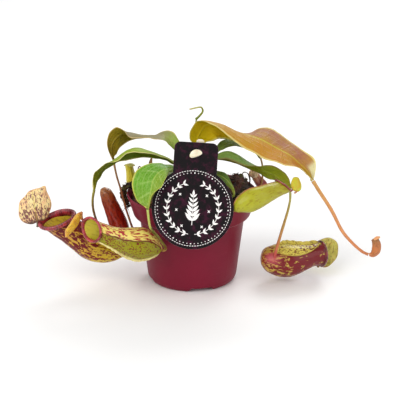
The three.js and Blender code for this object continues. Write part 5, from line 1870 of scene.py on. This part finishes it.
class PITCHERPLANT_OT_pitchers(bpy.types.Operator):
    """Build the open pitchers with their wings and collars"""
    bl_idname = "pitcherplant.pitchers"
    bl_label = "Open pitchers"

    def execute(self, context):
        sizes = context.scene.pitcher_plant_sizes
        for seed, (name, pitcher) in enumerate(PITCHERS.items(), 40):
            looks = (cup_skin("pitcher_" + name, CUP_LOOKS[name]),
                     lip_skin("collar_" + name, *LIP_LOOKS[name], sizes.lip_ribs))
            make_cup(name, pitcher, looks, CUP_SLOTS.get(name, "pitcher_spotted"), sizes, seed)
        return {"FINISHED"}


class PITCHERPLANT_OT_young(bpy.types.Operator):
    """Build the young pitchers that are still shut"""
    bl_idname = "pitcherplant.young"
    bl_label = "Young pitchers"

    def execute(self, context):
        for seed, (name, pod) in enumerate(YOUNG.items(), 60):
            skin = pod_skin("pitcher_" + name, *POD_LOOKS[name])
            make_pod(name, pod["rows"], skin, POD_SLOTS[name], seed)
        return {"FINISHED"}


class PITCHERPLANT_OT_lids(bpy.types.Operator):
    """Build the lids on their necks"""
    bl_idname = "pitcherplant.lids"
    bl_label = "Lids"

    def execute(self, context):
        lids = {"lid_" + name: dict(pitcher["lid"], hinge=Cup(pitcher).hinge())
                for name, pitcher in PITCHERS.items()}
        lids.update({"lid_" + name: pod["lid"] for name, pod in YOUNG.items() if "lid" in pod})
        for seed, (name, lid) in enumerate(lids.items(), 70):
            slot = LID_SLOTS.get(name, "pitcher_spotted")
            make_lid(name, lid, lid_skin(name, LID_LOOKS[name]), slot, seed)
        return {"FINISHED"}


class PITCHERPLANT_OT_moss(bpy.types.Operator):
    """Build the moss, with roots that hang over the rim"""
    bl_idname = "pitcherplant.moss"
    bl_label = "Moss"

    def execute(self, context):
        count = context.scene.pitcher_plant_sizes.moss_threads
        material = moss_finish()
        make_moss("moss_left", BITS["moss_left"], material, count, HANGING_ROOTS, 80)
        make_moss("moss_right", BITS["moss_right"], material, count, (), 81)
        return {"FINISHED"}


class PITCHERPLANT_OT_dried(bpy.types.Operator):
    """Build the dried leaf and the dried curls"""
    bl_idname = "pitcherplant.dried"
    bl_label = "Dried bits"

    def execute(self, context):
        material = dry_finish()
        make_ribbon("dried_leaf", BITS["dried_leaf"], material, 1.4, 1.2, 1.3, 0, 90)
        make_ribbon("dried_curl_left", BITS["dried_curl_left"], material, 0.7, 4.0, 1.0, 1, 91)
        make_ribbon("dried_curl_right", BITS["dried_curl_right"], material, 0.7, -3.5, 1.0, 1, 92)
        return {"FINISHED"}


OPERATORS = (
    PITCHERPLANT_OT_stage, PITCHERPLANT_OT_pot, PITCHERPLANT_OT_soil, PITCHERPLANT_OT_stem,
    PITCHERPLANT_OT_tag, PITCHERPLANT_OT_stake, PITCHERPLANT_OT_leaves, PITCHERPLANT_OT_tendrils,
    PITCHERPLANT_OT_pitchers, PITCHERPLANT_OT_young, PITCHERPLANT_OT_lids, PITCHERPLANT_OT_moss,
    PITCHERPLANT_OT_dried,
)


class PITCHERPLANT_PT_panel(bpy.types.Panel):
    bl_label = "Potted pitcher plant"
    bl_idname = "PITCHERPLANT_PT_panel"
    bl_space_type = "VIEW_3D"
    bl_region_type = "UI"
    bl_category = "Pitcher plant"

    def draw(self, context):
        for group in (context.scene.pitcher_plant_sizes, context.scene.pitcher_plant_colors):
            column = self.layout.column()
            for word in group.__annotations__:
                column.prop(group, word)
        for operator in OPERATORS:
            self.layout.operator(operator.bl_idname)


CLASSES = (PitcherPlantSizes, PitcherPlantColors, *OPERATORS, PITCHERPLANT_PT_panel)


def register():
    for each in CLASSES:
        bpy.utils.register_class(each)
    bpy.types.Scene.pitcher_plant_sizes = bpy.props.PointerProperty(type=PitcherPlantSizes)
    bpy.types.Scene.pitcher_plant_colors = bpy.props.PointerProperty(type=PitcherPlantColors)


def unregister():
    del bpy.types.Scene.pitcher_plant_colors
    del bpy.types.Scene.pitcher_plant_sizes
    for each in reversed(CLASSES):
        bpy.utils.unregister_class(each)


def main():
    register()
    for operator in OPERATORS:
        group, name = operator.bl_idname.split(".")
        getattr(getattr(bpy.ops, group), name)()


if __name__ == "__main__":
    main()
